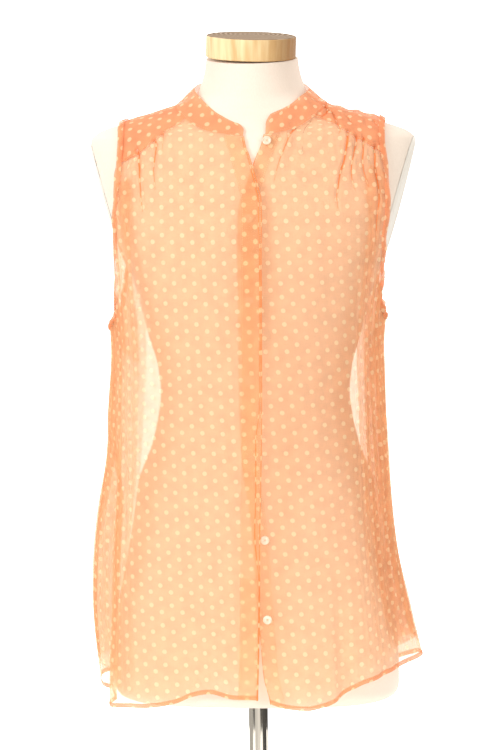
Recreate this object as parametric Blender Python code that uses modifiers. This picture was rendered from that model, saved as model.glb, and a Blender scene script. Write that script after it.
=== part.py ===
"""Sleeveless blouse with a band collar and fly placket, worn by a limbless dress form on a stand.

Every cloth piece is a strip or panel of one drape surface.  A point of that surface is given by
an angle round the body (0 at the front, positive towards +X) and by a profile length that runs up
the side and in over the shoulder.  Folds are small lifts along the surface's normal.
Lengths in the tables are millimetres, and heights there are measured from the form's underside.
"""

from collections import namedtuple
import math

import bmesh
import bpy
from mathutils import Matrix, Vector
import numpy as np

MM = 0.001

# Stand
BASE_RADIUS = 200 * MM
BASE_THICKNESS = 12 * MM
BASE_EDGE = 3 * MM
BASE_SIDES = 44
POLE_RADIUS = 11.8 * MM
POLE_EDGE = 0.5 * MM
POLE_SIDES = 24
FORM_UNDERSIDE = 260 * MM
FACE_GAP = 0.3 * MM

# Dress form
FORM_SIDES = 40
FORM_EXTRA_LEVELS = [697, 714, 723]
FORM_EDGE_TOP = 20 * MM
ARM_PLATE_THICKNESS = 3 * MM
ArmPlate = namedtuple("ArmPlate", "side out lean")
ARM_PLATES = {
    "right": ArmPlate(-1, 158 * MM, math.radians(16)),
    "left": ArmPlate(1, 157 * MM, math.radians(15)),
}
ARM_PLATE_HEIGHT = 543 * MM
ARM_PLATE_TURN = math.radians(4)
ARM_CUT_BOTTOM = -60 * MM
ARM_CUT_TOP = 250 * MM
ARM_CUT_WIDTH = 400 * MM
ARM_CUT_REACH = 300 * MM
NECK_LEAN_START = 715 * MM
NECK_LEAN_RUN = 30 * MM
NECK_LEAN = math.radians(5.5)
CAP_RADIUS = 53.6 * MM
CAP_THICKNESS = 26 * MM
CAP_EDGE = 1.5 * MM
CAP_SIDES = 40
CAP_CENTRE_Y = -15 * MM
CAP_ROLL = math.radians(2.0)

# Cloth
WALL = 1.2 * MM
DOUBLE_WALL = 1.8 * MM
REST_GAP = 0.8 * MM
LOOSE_GAP = 2.2 * MM
BAND_RISE = 1.6 * MM
STRIP_END = 3.0 * MM
SEAM_HALF_GAP = 0.3 * MM
YOKE_SEAM_GAP = 1.4 * MM
SIDE_SEAM_GAP = 0.8 * MM
SIDE_SEAM_RADIUS = 170 * MM
SIDE_SEAM_HEM_RIGHT = math.radians(86)
SIDE_SEAM_HEM_LEFT = math.radians(94)
NECK_RADIUS = 90 * MM
LAYER_GAP = 0.65 * MM
SHOULDER_GAP = 0.6 * MM
SHOULDER_FROM = 600 * MM
SHOULDER_RUN = 45 * MM
FORM_CLEARANCE = 4.0 * MM
SHOULDER_REST_DEPTH = 22 * MM
SHOULDER_REST_FROM = 686 * MM
SHOULDER_REST_RUN = 8 * MM
FLAP_LIFT = 7.2 * MM
FLAP_LIFT_FROM = -48 * MM
FLAP_LIFT_RUN = 34 * MM
FLAP_FADE_FROM = 630 * MM
FLAP_FADE_RUN = 36 * MM
FLY_WIDTH = 23 * MM
STAND_WIDTH = 18 * MM
BINDING_WIDTH = 7.5 * MM
CLOSURE_LOW = 15 * MM
CLOSURE_HIGH = 680 * MM
BAND_BOW = 1.5 * MM
BAND_CLEARANCE = 1.1 * MM

# Grid counts
NECK_COLUMNS = 7
GATHER_COLUMNS = 17
SEAM_ROWS = 15
ARMHOLE_ROWS = 11
STRIP_COLUMNS = 2
BINDING_STEPS = 22
BACK_COLUMNS = 26
YOKE_SHOULDER_COLUMNS = 12
YOKE_BACK_COLUMNS = 12
YOKE_ROWS = 8
BAND_COLUMNS = 44
BAND_ROWS = 3

# Buttons
BUTTON_RADIUS = 5.25 * MM
BUTTON_THICKNESS = 2.0 * MM
BUTTON_BEVEL = 0.5 * MM
BUTTON_SIDES = 16

Section = namedtuple("Section", "height left right front back square")
FORM_SECTIONS = [
    Section(0, 160, 160, 93, 90, 2.8),
    Section(4, 168, 168, 100, 98, 2.8),
    Section(12, 172, 172, 104, 101, 2.8),
    Section(60, 171, 171, 105, 103, 2.7),
    Section(120, 166, 166, 106, 104, 2.5),
    Section(165, 158, 158, 104, 102, 2.4),
    Section(220, 148, 148, 100, 98, 2.3),
    Section(262, 142, 142, 95, 93, 2.2),
    Section(304, 126, 126, 90, 87, 2.1),
    Section(342, 117, 117, 87, 82, 2.1),
    Section(368, 114, 114, 86, 80, 2.1),
    Section(400, 117, 117, 90, 81, 2.1),
    Section(440, 128, 128, 104, 85, 2.2),
    Section(480, 138, 138, 119, 90, 2.3),
    Section(520, 152, 152, 127, 94, 2.3),
    Section(550, 165, 165, 127, 96, 2.3),
    Section(580, 178, 178, 120, 98, 2.2),
    Section(610, 188, 188, 109, 98, 2.1),
    Section(640, 196, 196, 97, 93, 2.0),
    Section(660, 197, 197, 89, 86, 2.0),
    Section(674, 194, 194, 84, 79, 2.0),
    Section(683, 183, 183, 80, 73, 2.0),
    Section(689, 166.5, 166.5, 78, 68, 2.0),
    Section(694, 150, 150, 76, 64, 2.0),
    Section(700, 130.5, 130.5, 74, 60, 2.0),
    Section(706, 111, 111, 72.5, 56.5, 2.0),
    Section(711, 95, 95, 71, 53.5, 2.0),
    Section(718, 79, 79, 70, 49.5, 2.0),
    Section(728, 66, 66, 69, 46, 2.0),
    Section(740, 60.5, 60.5, 69, 43.5, 2.0),
    Section(752, 57, 57, 69, 41.5, 2.0),
    Section(768, 54.6, 54.6, 69.6, 39.6, 2.0),
]
CLOTH_SECTIONS = [
    Section(-40, 183, 208, 121, 112, 2.35),
    Section(20, 190, 198, 121, 112, 2.35),
    Section(60, 194, 189, 122, 112, 2.35),
    Section(110, 197, 177, 123, 112, 2.35),
    Section(165, 195, 167, 124, 111, 2.35),
    Section(220, 190, 161, 126, 110, 2.35),
    Section(290, 179, 156, 128, 108, 2.35),
    Section(360, 172, 152, 130, 106, 2.35),
    Section(420, 168, 151, 132, 104, 2.35),
    Section(463, 171, 154, 133, 103, 2.35),
    Section(520, 175, 164, 134, 103, 2.35),
    Section(550, 178, 171, 133, 103, 2.35),
    Section(580, 183, 181, 126, 103, 2.25),
    Section(610, 189, 189, 112, 100, 2.1),
] + [section for section in FORM_SECTIONS if section.height >= 640]

EdgePoint = namedtuple("EdgePoint", "height left right")
FRONT_ARMHOLE = [
    EdgePoint(481, 160, 153),
    EdgePoint(504, 158, 153),
    EdgePoint(553, 157, 156),
    EdgePoint(601, 157, 161),
    EdgePoint(645, 155, 160),
    EdgePoint(672, 154, 157),
    EdgePoint(692, 157, 157),
]
BACK_ARMHOLE = [
    EdgePoint(481, 163, 149),
    EdgePoint(504, 160, 146),
    EdgePoint(553, 157, 147),
    EdgePoint(601, 157, 150),
    EdgePoint(645, 156, 154),
    EdgePoint(672, 155, 155),
    EdgePoint(692, 157, 157),
]
SHOULDER_POINT = 692
UNDERARM_LEFT = 452
UNDERARM_RIGHT = 464

ClosureEdge = namedtuple("ClosureEdge", "height flap stand")
CLOSURE_EDGES = [
    ClosureEdge(-20, 9, 24),
    ClosureEdge(12, 9.5, 23),
    ClosureEdge(44, 10.5, 16),
    ClosureEdge(88, 12, 12.5),
    ClosureEdge(136, 13, 9),
    ClosureEdge(209, 14, 5),
    ClosureEdge(254, 15, 0),
    ClosureEdge(304, 16.5, -7),
    ClosureEdge(400, 18, -9),
    ClosureEdge(583, 19, -9),
    ClosureEdge(601, 18, -7),
    ClosureEdge(615, 14.5, -2),
    ClosureEdge(632, 9.5, 3),
    ClosureEdge(653, 3.5, 10),
    ClosureEdge(668, -2, 16),
    ClosureEdge(690, -6, 21),
]

SeamPoint = namedtuple("SeamPoint", "side out height")
YOKE_FRONT_SEAM = [
    SeamPoint(-1, 76, 695),
    SeamPoint(-1, 92, 686),
    SeamPoint(-1, 105, 677),
    SeamPoint(-1, 118, 666),
    SeamPoint(-1, 131, 656),
    SeamPoint(-1, 143, 650),
    SeamPoint(-1, 155, 645),
    SeamPoint(1, 73, 699),
    SeamPoint(1, 90, 694),
    SeamPoint(1, 107, 686),
    SeamPoint(1, 120, 677),
    SeamPoint(1, 132, 670),
    SeamPoint(1, 146, 662),
    SeamPoint(1, 158, 653),
]
YOKE_BACK_CORNER = 622
YOKE_BACK_CENTRE = 612
YOKE_BACK_TURN = math.radians(70)

TurnHeight = namedtuple("TurnHeight", "angle height")
NECK_SEAM = [
    TurnHeight(0, 678),
    TurnHeight(12, 680),
    TurnHeight(33, 685),
    TurnHeight(41, 690),
    TurnHeight(49, 697),
    TurnHeight(60, 706),
    TurnHeight(88, 715),
    TurnHeight(130, 718),
    TurnHeight(180, 719),
]
HEM = [
    TurnHeight(-180, -8),
    TurnHeight(-150, -5),
    TurnHeight(-120, 6),
    TurnHeight(-102, 16),
    TurnHeight(-90, 10),
    TurnHeight(-80, 6),
    TurnHeight(-68, 0),
    TurnHeight(-56, 1),
    TurnHeight(-47, 4),
    TurnHeight(-39, 9),
    TurnHeight(-31, 18),
    TurnHeight(-21, 23),
    TurnHeight(-9, 19),
    TurnHeight(4, 18),
    TurnHeight(11, 12),
    TurnHeight(20, 6),
    TurnHeight(30, 4),
    TurnHeight(38, 8),
    TurnHeight(46, 19),
    TurnHeight(52, 31),
    TurnHeight(58, 36),
    TurnHeight(67, 42),
    TurnHeight(78, 47),
    TurnHeight(90, 48),
    TurnHeight(102, 40),
    TurnHeight(122, 18),
    TurnHeight(150, -2),
    TurnHeight(180, -8),
]
BandPoint = namedtuple("BandPoint", "angle radius right left")
BAND_AXIS_Y = -12 * MM
BAND_TOP = [
    BandPoint(0, 66.5, 690, 699),
    BandPoint(15, 66.5, 695, 701),
    BandPoint(30, 67, 704, 707),
    BandPoint(45, 68, 714, 714),
    BandPoint(62, 68, 725, 724),
    BandPoint(85, 67.5, 734, 731),
    BandPoint(125, 65, 741, 740),
    BandPoint(180, 62, 745, 745),
]
BandEnd = namedtuple("BandEnd", "seam top")
BAND_RIGHT_END = BandEnd(-3.6, -3.2)
BAND_LEFT_END = BandEnd(14.2, 17.4)

# Folds.  Each is deepest at its first end and fades out towards its second.
Fold = namedtuple("Fold", "angle height end_angle end_height spread depth")
GATHERS = [
    Fold(-66.5, 650, -66.0, 575, 5.0, -4.2),
    Fold(-59.5, 662, -61.0, 590, 5.5, -4.2),
    Fold(-55.0, 672, -54.5, 620, 5.0, -2.4),
    Fold(-71.0, 645, -70.5, 560, 4.0, -2.0),
    Fold(58.0, 682, 51.5, 585, 5.5, -5.0),
    Fold(62.0, 672, 60.0, 570, 5.0, -4.4),
    Fold(65.5, 668, 67.5, 575, 4.6, -4.2),
    Fold(69.5, 662, 71.0, 545, 4.4, -4.0),
    Fold(53.5, 688, 48.0, 630, 5.0, -2.8),
    Fold(32.0, 684, 18.0, 610, 7.0, 3.2),
    Fold(42.0, 690, 24.0, 600, 8.0, 2.6),
    Fold(150.0, 612, 152.0, 500, 9.0, -4.0),
    Fold(157.0, 612, 158.0, 470, 8.0, -5.0),
    Fold(164.0, 612, 163.0, 480, 8.0, -4.0),
    Fold(171.0, 612, 172.0, 440, 8.0, -5.0),
    Fold(180.0, 612, 180.0, 470, 8.0, -4.0),
    Fold(-171.0, 612, -170.0, 450, 8.0, -5.0),
    Fold(-163.0, 612, -165.0, 490, 8.0, -4.0),
    Fold(-155.0, 612, -154.0, 460, 9.0, -5.0),
    Fold(-148.0, 612, -149.0, 510, 8.0, -3.5),
]
HANGING_FOLDS = [
    Fold(-76.0, 225, -77.0, 350, 25.0, -25.0),
    Fold(-66.0, -10, -64.0, 130, 20.0, 17.0),
    Fold(-100.0, 10, -98.0, 330, 24.0, 6.0),
    Fold(-36.0, 10, -30.0, 330, 26.0, -5.0),
    Fold(-50.0, -5, -46.0, 300, 24.0, 4.0),
    Fold(-12.0, 10, -14.0, 260, 20.0, 3.0),
    Fold(30.0, 0, 26.0, 300, 30.0, 5.0),
    Fold(46.5, 20, 44.0, 190, 9.0, -10.0),
    Fold(56.0, 20, 53.0, 260, 15.0, 6.0),
    Fold(72.0, 30, 70.0, 330, 20.0, -6.0),
    Fold(86.0, 40, 86.0, 260, 18.0, 7.0),
    Fold(112.0, 20, 110.0, 350, 22.0, -9.0),
    Fold(132.0, 0, 134.0, 380, 24.0, 7.0),
    Fold(150.0, -10, 154.0, 400, 20.0, -8.0),
    Fold(170.0, -10, 168.0, 420, 24.0, 7.0),
    Fold(-172.0, -10, -176.0, 360, 20.0, -7.0),
    Fold(-154.0, -10, -152.0, 400, 24.0, 8.0),
    Fold(-134.0, 0, -136.0, 340, 20.0, -7.0),
    Fold(-118.0, 10, -116.0, 300, 20.0, 5.0),
]
Puff = namedtuple("Puff", "out depth spread_out spread_depth lift")
SHOULDER_PUFFS = [
    Puff(144, -8, 12, 34, 4.5),
    Puff(124, -6, 7, 32, 3.6),
    Puff(104, -14, 7, 26, 2.6),
    Puff(88, -20, 6, 20, 1.8),
    Puff(-140, -6, 14, 30, 1.2),
    Puff(-104, -12, 16, 26, 0.8),
]
GatherZone = namedtuple("GatherZone", "first rise last fall")
GATHER_ZONES = [
    GatherZone(46, 10, 78, 8),
    GatherZone(140, 12, 360, 8),
]
GATHER_PUFF = 3.8 * MM
GATHER_PUFF_DROP = 110 * MM
SEAM_PIN = 14 * MM
HANG_RUN = 120 * MM
PUFF_FROM = 620 * MM
PUFF_RUN = 40 * MM

ButtonPlace = namedtuple("ButtonPlace", "out height")
BUTTONS = [
    ButtonPlace(22.5, 671.5),
    ButtonPlace(3.5, 583),
    ButtonPlace(3.5, 490),
    ButtonPlace(3.5, 397),
    ButtonPlace(5.5, 304),
    ButtonPlace(19.0, 209),
    ButtonPlace(21.0, 114),
]

COLOURS = {
    "cloth": ((0.93, 0.50, 0.27), 0.85, 0.0),
    "cloth_double": ((0.90, 0.40, 0.19), 0.85, 0.0),
    "jersey": ((0.93, 0.88, 0.78), 0.9, 0.0),
    "plate": ((0.80, 0.74, 0.66), 0.6, 0.0),
    "wood": ((0.75, 0.50, 0.26), 0.5, 0.0),
    "steel": ((0.72, 0.70, 0.66), 0.25, 1.0),
    "painted": ((0.82, 0.80, 0.77), 0.45, 0.0),
    "button": ((0.90, 0.80, 0.68), 0.3, 0.0),
}


# ---------------------------------------------------------------- curves and sections

def monotone_curve(knots, values):
    """Return a smooth function through the values that doesn't swing past them."""
    x = np.asarray(knots, float)
    y = np.asarray(values, float)
    run = np.diff(x)
    slope = np.diff(y) / run
    tangent = np.zeros_like(y)
    tangent[0] = slope[0]
    tangent[-1] = slope[-1]
    before, after = slope[:-1], slope[1:]
    rising = before * after > 0
    weight_a = 2 * run[1:] + run[:-1]
    weight_b = run[1:] + 2 * run[:-1]
    safe_before = np.where(rising, before, 1)
    safe_after = np.where(rising, after, 1)
    mean = (weight_a + weight_b) / (weight_a / safe_before + weight_b / safe_after)
    tangent[1:-1] = np.where(rising, mean, 0)

    def curve(at):
        at = np.clip(np.asarray(at, float), x[0], x[-1])
        k = np.clip(np.searchsorted(x, at, side="right") - 1, 0, len(x) - 2)
        step = run[k]
        t = (at - x[k]) / step
        return (y[k] * (1 + 2 * t) * (1 - t) ** 2 + tangent[k] * step * t * (1 - t) ** 2
                + y[k + 1] * t * t * (3 - 2 * t) + tangent[k + 1] * step * t * t * (t - 1))

    return curve


def section_curves(sections):
    """Turn a table of sections into one smooth function of height for each column."""
    heights = [section.height * MM for section in sections]
    curves = {}
    for column in ("left", "right", "front", "back"):
        curves[column] = monotone_curve(heights, [getattr(row, column) * MM for row in sections])
    curves["square"] = monotone_curve(heights, [row.square for row in sections])
    return curves


FORM = section_curves(FORM_SECTIONS)
CLOTH = section_curves(CLOTH_SECTIONS)


def ring_radius(curves, angle, height):
    """Distance from the axis of a rounded section, at an angle from the front."""
    sine = np.sin(angle)
    cosine = np.cos(angle)
    half_width = np.where(sine < 0, curves["left"](height), curves["right"](height))
    half_depth = np.where(cosine > 0, curves["front"](height), curves["back"](height))
    power = curves["square"](height)
    total = (np.abs(sine) / half_width) ** power + (np.abs(cosine) / half_depth) ** power
    return total ** (-1 / power)


def neck_lean_rise(y, height):
    """The neck's sections tip forward, so their backs rise and their fronts drop."""
    lean = np.clip((height - NECK_LEAN_START) / NECK_LEAN_RUN, 0, 1)
    return math.tan(NECK_LEAN) * lean * (y - CAP_CENTRE_Y)


def ring_point(curves, angle, height):
    radius = ring_radius(curves, angle, height)
    y = -radius * np.cos(angle)
    z = FORM_UNDERSIDE + height + neck_lean_rise(y, height)
    return np.stack([radius * np.sin(angle), y, z], axis=-1)


PROFILE_HEIGHTS = np.linspace(-40 * MM, 760 * MM, 3201)
_profile_width = (CLOTH["left"](PROFILE_HEIGHTS) + CLOTH["right"](PROFILE_HEIGHTS)) / 2
_profile_steps = np.hypot(np.diff(PROFILE_HEIGHTS), np.diff(_profile_width))
PROFILE_LENGTHS = np.concatenate([[0], np.cumsum(_profile_steps)])


def length_at(height):
    return np.interp(height, PROFILE_HEIGHTS, PROFILE_LENGTHS)


def height_at(length):
    return np.interp(length, PROFILE_LENGTHS, PROFILE_HEIGHTS)


def side_angle(out, height, back=False):
    """Angle of the point of the drape surface that lies a distance out from the middle."""
    half_width = np.where(out < 0, CLOTH["left"](height), CLOTH["right"](height))
    depth = CLOTH["back"](height) if back else CLOTH["front"](height)
    power = CLOTH["square"](height)
    share = np.clip(np.abs(out) / half_width, 0, 1)
    y = depth * (1 - share ** power) ** (1 / power)
    angle = np.arctan2(np.abs(out), y)
    if back:
        angle = math.pi - angle
    return np.where(out < 0, -angle, angle)


# ---------------------------------------------------------------- folds

def smooth_step(value):
    t = np.clip(value, 0, 1)
    return t * t * (3 - 2 * t)


def turn_difference(angle, centre):
    return (angle - centre + math.pi) % (2 * math.pi) - math.pi


def fold_lift(folds, angle, height, radius):
    """Sum of soft troughs and ridges, each along its own line on the drape surface."""
    total = np.zeros_like(angle)
    for fold in folds:
        start = fold.height * MM
        end = fold.end_height * MM
        t = (height - start) / (end - start)
        share = np.clip(t, 0, 1)
        turn = math.radians(fold.end_angle - fold.angle)
        centre = math.radians(fold.angle) + share * turn
        across = turn_difference(angle, centre) * radius / (fold.spread * MM)
        fade = np.cos(share * math.pi / 2) ** 2
        total += fold.depth * MM * np.exp(-across ** 2) * fade
    return total


def seam_curve(side):
    rows = [row for row in YOKE_FRONT_SEAM if row.side == side]
    heights = np.array([row.height * MM for row in rows])
    outs = np.array([row.side * row.out * MM for row in rows])
    return side_angle(outs, heights), heights


SEAM_LEFT = seam_curve(-1)
SEAM_RIGHT = seam_curve(1)
neck_height = monotone_curve([math.radians(row.angle) for row in NECK_SEAM],
                             [row.height * MM for row in NECK_SEAM])
hem_height = monotone_curve([math.radians(row.angle) for row in HEM],
                            [row.height * MM for row in HEM])


def yoke_back_height(angle):
    turn = np.clip((math.pi - np.abs(angle)) / YOKE_BACK_TURN, 0, 1)
    rise = (YOKE_BACK_CORNER - YOKE_BACK_CENTRE) * MM
    return YOKE_BACK_CENTRE * MM + rise * turn ** 2


def panel_top(angle):
    """Height of the seam that closes the front or back panel at its upper edge."""
    left = np.interp(-angle, -SEAM_LEFT[0], SEAM_LEFT[1])
    right = np.interp(angle, SEAM_RIGHT[0], SEAM_RIGHT[1])
    front = np.where(angle < 0, left, right)
    join = np.where(angle < 0, -SEAM_LEFT[0][0], SEAM_RIGHT[0][0])
    front = np.where(np.abs(angle) < join, neck_height(np.abs(angle)), front)
    return np.where(np.abs(angle) > math.radians(90), yoke_back_height(angle), front)


def gather_zone(angle):
    """1 where the cloth is gathered into the yoke, 0 where it is flat."""
    turn = np.degrees(np.abs(angle))
    share = np.zeros_like(turn)
    for zone in GATHER_ZONES:
        opened = smooth_step((turn - zone.first) / zone.rise)
        closed = smooth_step((zone.last - turn) / zone.fall)
        share = share + opened * closed
    return share


def cloth_lift(angle, height, radius, position):
    below = panel_top(angle) - height
    pin = smooth_step(below / SEAM_PIN)
    fade = 1 - smooth_step((below - SEAM_PIN) / GATHER_PUFF_DROP)
    puff = GATHER_PUFF * gather_zone(angle) * fade
    lift = pin * (puff + fold_lift(GATHERS, angle, height, radius))
    free = smooth_step(below / HANG_RUN)
    lift = lift + free * fold_lift(HANGING_FOLDS, angle, height, radius)
    for puff in SHOULDER_PUFFS:
        across = (position[..., 0] - puff.out * MM) / (puff.spread_out * MM)
        along = (position[..., 1] - puff.depth * MM) / (puff.spread_depth * MM)
        high = smooth_step((height - PUFF_FROM) / PUFF_RUN)
        lift = lift + puff.lift * MM * np.exp(-across ** 2 - along ** 2) * high
    return np.where(height > SHOULDER_FROM, np.maximum(lift, 0), lift)


# ---------------------------------------------------------------- the drape surface

PROBE_TURN = math.radians(0.25)
PROBE_RISE = 0.5 * MM
LEAN_PASSES = 4


def base_frame(angle, length):
    """Base point, unit normal and the two tangents of the drape surface."""
    def place(turn, reach):
        return ring_point(CLOTH, turn, height_at(reach))

    point = place(angle, length)
    round_way = (place(angle + PROBE_TURN, length) - place(angle - PROBE_TURN, length))
    up_way = (place(angle, length + PROBE_RISE) - place(angle, length - PROBE_RISE))
    round_way = round_way / (2 * PROBE_TURN)
    up_way = up_way / (2 * PROBE_RISE)
    normal = np.cross(round_way, up_way)
    normal /= np.linalg.norm(normal, axis=-1, keepdims=True)
    return point, normal, round_way, up_way


def clear_of_form(points, clearance=FORM_CLEARANCE, ceiling=SHOULDER_FROM):
    """Push points below a height out from the axis until they stand clear of the form."""
    x, y, z = points[..., 0], points[..., 1], points[..., 2]
    height = z - FORM_UNDERSIDE
    for _ in range(LEAN_PASSES):
        height = z - FORM_UNDERSIDE - neck_lean_rise(y, height)
    radius = np.hypot(x, y)
    level = np.maximum(height, FORM_EDGE_TOP)
    least = ring_radius(FORM, np.arctan2(x, -y), level) + clearance
    below = height < ceiling
    scale = np.where(below, np.maximum(least / radius, 1), 1)
    return np.stack([x * scale, y * scale, z], axis=-1)


def rest_gap(position, height):
    """The cloth lies on the tops of the shoulders and stands a little looser elsewhere."""
    on_top = np.exp(-(position[..., 1] / SHOULDER_REST_DEPTH) ** 2)
    on_top = on_top * smooth_step((height - SHOULDER_REST_FROM) / SHOULDER_REST_RUN)
    return LOOSE_GAP + (REST_GAP - LOOSE_GAP) * on_top


def flap_lift(position, height):
    """How far the overlapping front stands off the one below it, near the middle."""
    across = smooth_step((position[..., 0] - FLAP_LIFT_FROM) / FLAP_LIFT_RUN)
    down = 1 - smooth_step((height - FLAP_FADE_FROM) / FLAP_FADE_RUN)
    return FLAP_LIFT * across * down


def cloth_points(angle, length, out=0.0, flap=False):
    """Points of the cloth's inner face, moved out by a distance."""
    angle = np.asarray(angle, float)
    length = np.asarray(length, float)
    height = height_at(length)
    base, normal, _, _ = base_frame(angle, length)
    radius = np.hypot(base[..., 0], base[..., 1])
    lift = rest_gap(base, height) + cloth_lift(angle, height, radius, base)
    if flap:
        lift = lift + flap_lift(base, height)
    inner = clear_of_form(base + normal * lift[..., None])
    return inner + normal * out


def step_on_surface(angle, length, direction, distance):
    """Move along the surface in a 3D direction and return the new angle and length."""
    _, _, round_way, up_way = base_frame(angle, length)
    move = direction * distance
    a = np.sum(round_way * round_way, axis=-1)
    b = np.sum(round_way * up_way, axis=-1)
    c = np.sum(up_way * up_way, axis=-1)
    d = np.sum(round_way * move, axis=-1)
    e = np.sum(up_way * move, axis=-1)
    scale = a * c - b * b
    return angle + (d * c - e * b) / scale, length + (a * e - b * d) / scale


def resample(points, count):
    """Spread a number of steps evenly along a curve of angle and length."""
    angle, length = points
    place = cloth_points(angle, length)
    run = np.concatenate([[0], np.cumsum(np.linalg.norm(np.diff(place, axis=0), axis=1))])
    even = np.linspace(0, run[-1], count + 1)
    return np.interp(even, run, angle), np.interp(even, run, length)


def joined(*curves):
    """Join curves end to end, dropping each repeated point."""
    angles = [curves[0][0]] + [curve[0][1:] for curve in curves[1:]]
    lengths = [curves[0][1]] + [curve[1][1:] for curve in curves[1:]]
    return np.concatenate(angles), np.concatenate(lengths)


def blend_patch(bottom, top, left, right):
    """Fill four boundary curves of angle and length with a grid, rows from bottom to top."""
    columns = np.linspace(0, 1, len(bottom[0]))[None, :]
    rows = np.linspace(0, 1, len(left[0]))[:, None]
    grids = []
    for low, high, near, far in zip(bottom, top, left, right):
        sides = (1 - columns) * near[:, None] + columns * far[:, None]
        ends = (1 - rows) * low[None, :] + rows * high[None, :]
        corners = ((1 - columns) * (1 - rows) * low[0] + columns * (1 - rows) * low[-1]
                   + (1 - columns) * rows * high[0] + columns * rows * high[-1])
        grids.append(sides + ends - corners)
    return grids


# ---------------------------------------------------------------- edges of the pieces

DENSE = 160


def armhole_edge(side, back=False, first=None, last=SHOULDER_POINT):
    """Armhole edge from the underarm, or a height, up to a height."""
    table = BACK_ARMHOLE if back else FRONT_ARMHOLE
    underarm = (UNDERARM_LEFT if side < 0 else UNDERARM_RIGHT) * MM
    heights = [row.height * MM for row in table]
    outs = [(row.left if side < 0 else row.right) * side * MM for row in table]
    out = monotone_curve(heights, outs)
    if first is None:
        # a quarter ellipse closes the lower end of the armhole at the side seam
        t = np.linspace(0, math.pi / 2, DENSE)
        side_turn = side * math.pi / 2
        low_turn = side_angle(out(heights[0]), heights[0], back)
        low_angle = side_turn + (low_turn - side_turn) * np.sin(t)
        low_height = heights[0] - (heights[0] - underarm) * np.cos(t)
        ease = np.sin(np.linspace(0, math.pi / 2, DENSE))
        high_height = heights[0] + (last * MM - heights[0]) * ease
        high_angle = side_angle(out(high_height), high_height, back)
        angle = np.concatenate([low_angle, high_angle[1:]])
        return angle, length_at(np.concatenate([low_height, high_height[1:]]))
    ease = np.sin(np.linspace(0, math.pi / 2, DENSE))
    height = (first + (last - first) * ease) * MM
    return side_angle(out(height), height, back), length_at(height)


def side_seam(side, shift):
    """Side seam from the hem up to the underarm, moved round by a small distance."""
    underarm = (UNDERARM_LEFT if side < 0 else UNDERARM_RIGHT) * MM
    t = np.linspace(0, 1, DENSE)
    low_turn = SIDE_SEAM_HEM_RIGHT if side < 0 else SIDE_SEAM_HEM_LEFT
    angle = side * (low_turn + (math.pi / 2 - low_turn) * t)
    height = hem_height(angle[0]) + (underarm - hem_height(angle[0])) * t
    return angle + side * shift / SIDE_SEAM_RADIUS, length_at(height)


def hem_edge(first, last):
    angle = np.linspace(first, last, DENSE)
    return angle, length_at(hem_height(angle))


def closure_edge(flap, inset=0.0):
    """Centre front edge of a front panel, from the hem up to the neck seam."""
    heights = [row.height * MM for row in CLOSURE_EDGES]
    outs = [(row.flap if flap else row.stand) * MM for row in CLOSURE_EDGES]
    place = monotone_curve(heights, outs)
    low_angle = side_angle(place(CLOSURE_LOW) + inset, CLOSURE_LOW)
    high_angle = side_angle(place(CLOSURE_HIGH) + inset, CLOSURE_HIGH)
    low = hem_height(low_angle)
    high = neck_height(np.abs(high_angle)) - SEAM_HALF_GAP
    height = np.linspace(low, high, DENSE)
    return side_angle(place(height) + inset, height), length_at(height)


def yoke_seam(side, shift):
    """Front yoke seam from the neck seam out to the armhole, moved up by a small distance."""
    angles, heights = SEAM_LEFT if side < 0 else SEAM_RIGHT
    t = np.linspace(0, 1, DENSE)
    along = np.linspace(0, 1, len(angles))
    angle = monotone_curve(along, angles)(t)
    height = monotone_curve(along, heights)(t)
    return angle, length_at(height) + shift


def neck_edge(first, last, shift):
    angle = np.linspace(first, last, DENSE)
    return angle, length_at(neck_height(np.abs(turn_difference(angle, 0)))) + shift


def shorten_end(curve, start=0.0, end=0.0):
    """Cut a distance off the ends of a curve."""
    angle, length = curve
    place = cloth_points(angle, length)
    run = np.concatenate([[0], np.cumsum(np.linalg.norm(np.diff(place, axis=0), axis=1))])
    even = np.linspace(start, run[-1] - end, len(angle))
    return np.interp(even, run, angle), np.interp(even, run, length)


# ---------------------------------------------------------------- meshes

def material(kind):
    name = "mat_" + kind
    made = bpy.data.materials.get(name)
    if made:
        return made
    made = bpy.data.materials.new(name)
    made.use_nodes = True
    colour, roughness, metallic = COLOURS[kind]
    shader = made.node_tree.nodes["Principled BSDF"]
    shader.inputs["Base Color"].default_value = (*colour, 1)
    shader.inputs["Roughness"].default_value = roughness
    shader.inputs["Metallic"].default_value = metallic
    made.diffuse_color = (*colour, 1)
    return made


def add_object(name, mesh, kind, collection):
    piece = bpy.data.objects.new(name, mesh)
    own = material(kind).copy()
    own.name = "mat_" + name
    mesh.materials.clear()
    mesh.materials.append(own)
    collection.objects.link(piece)
    return piece


def shade(mesh, sharp_angle=40):
    mesh.shade_smooth()
    mesh.set_sharp_from_angle(angle=math.radians(sharp_angle))


def grid_object(name, points, wall, kind, collection, closed=False):
    """Turn a grid of inner points, rows by columns, into a cloth wall."""
    rows, columns, _ = points.shape
    verts = [tuple(p) for p in points.reshape(-1, 3)]
    faces = []
    for i in range(rows - 1):
        for j in range(columns if closed else columns - 1):
            k = (j + 1) % columns
            a, b = i * columns + j, i * columns + k
            faces.append((a, b, b + columns, a + columns))
    mesh = bpy.data.meshes.new(name)
    mesh.from_pydata(verts, [], faces)
    mesh.validate()
    shade(mesh)
    piece = add_object(name, mesh, kind, collection)
    thick = piece.modifiers.new("Wall", "SOLIDIFY")
    thick.thickness = wall
    thick.offset = 1
    return piece


# ---------------------------------------------------------------- stand and form

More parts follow.
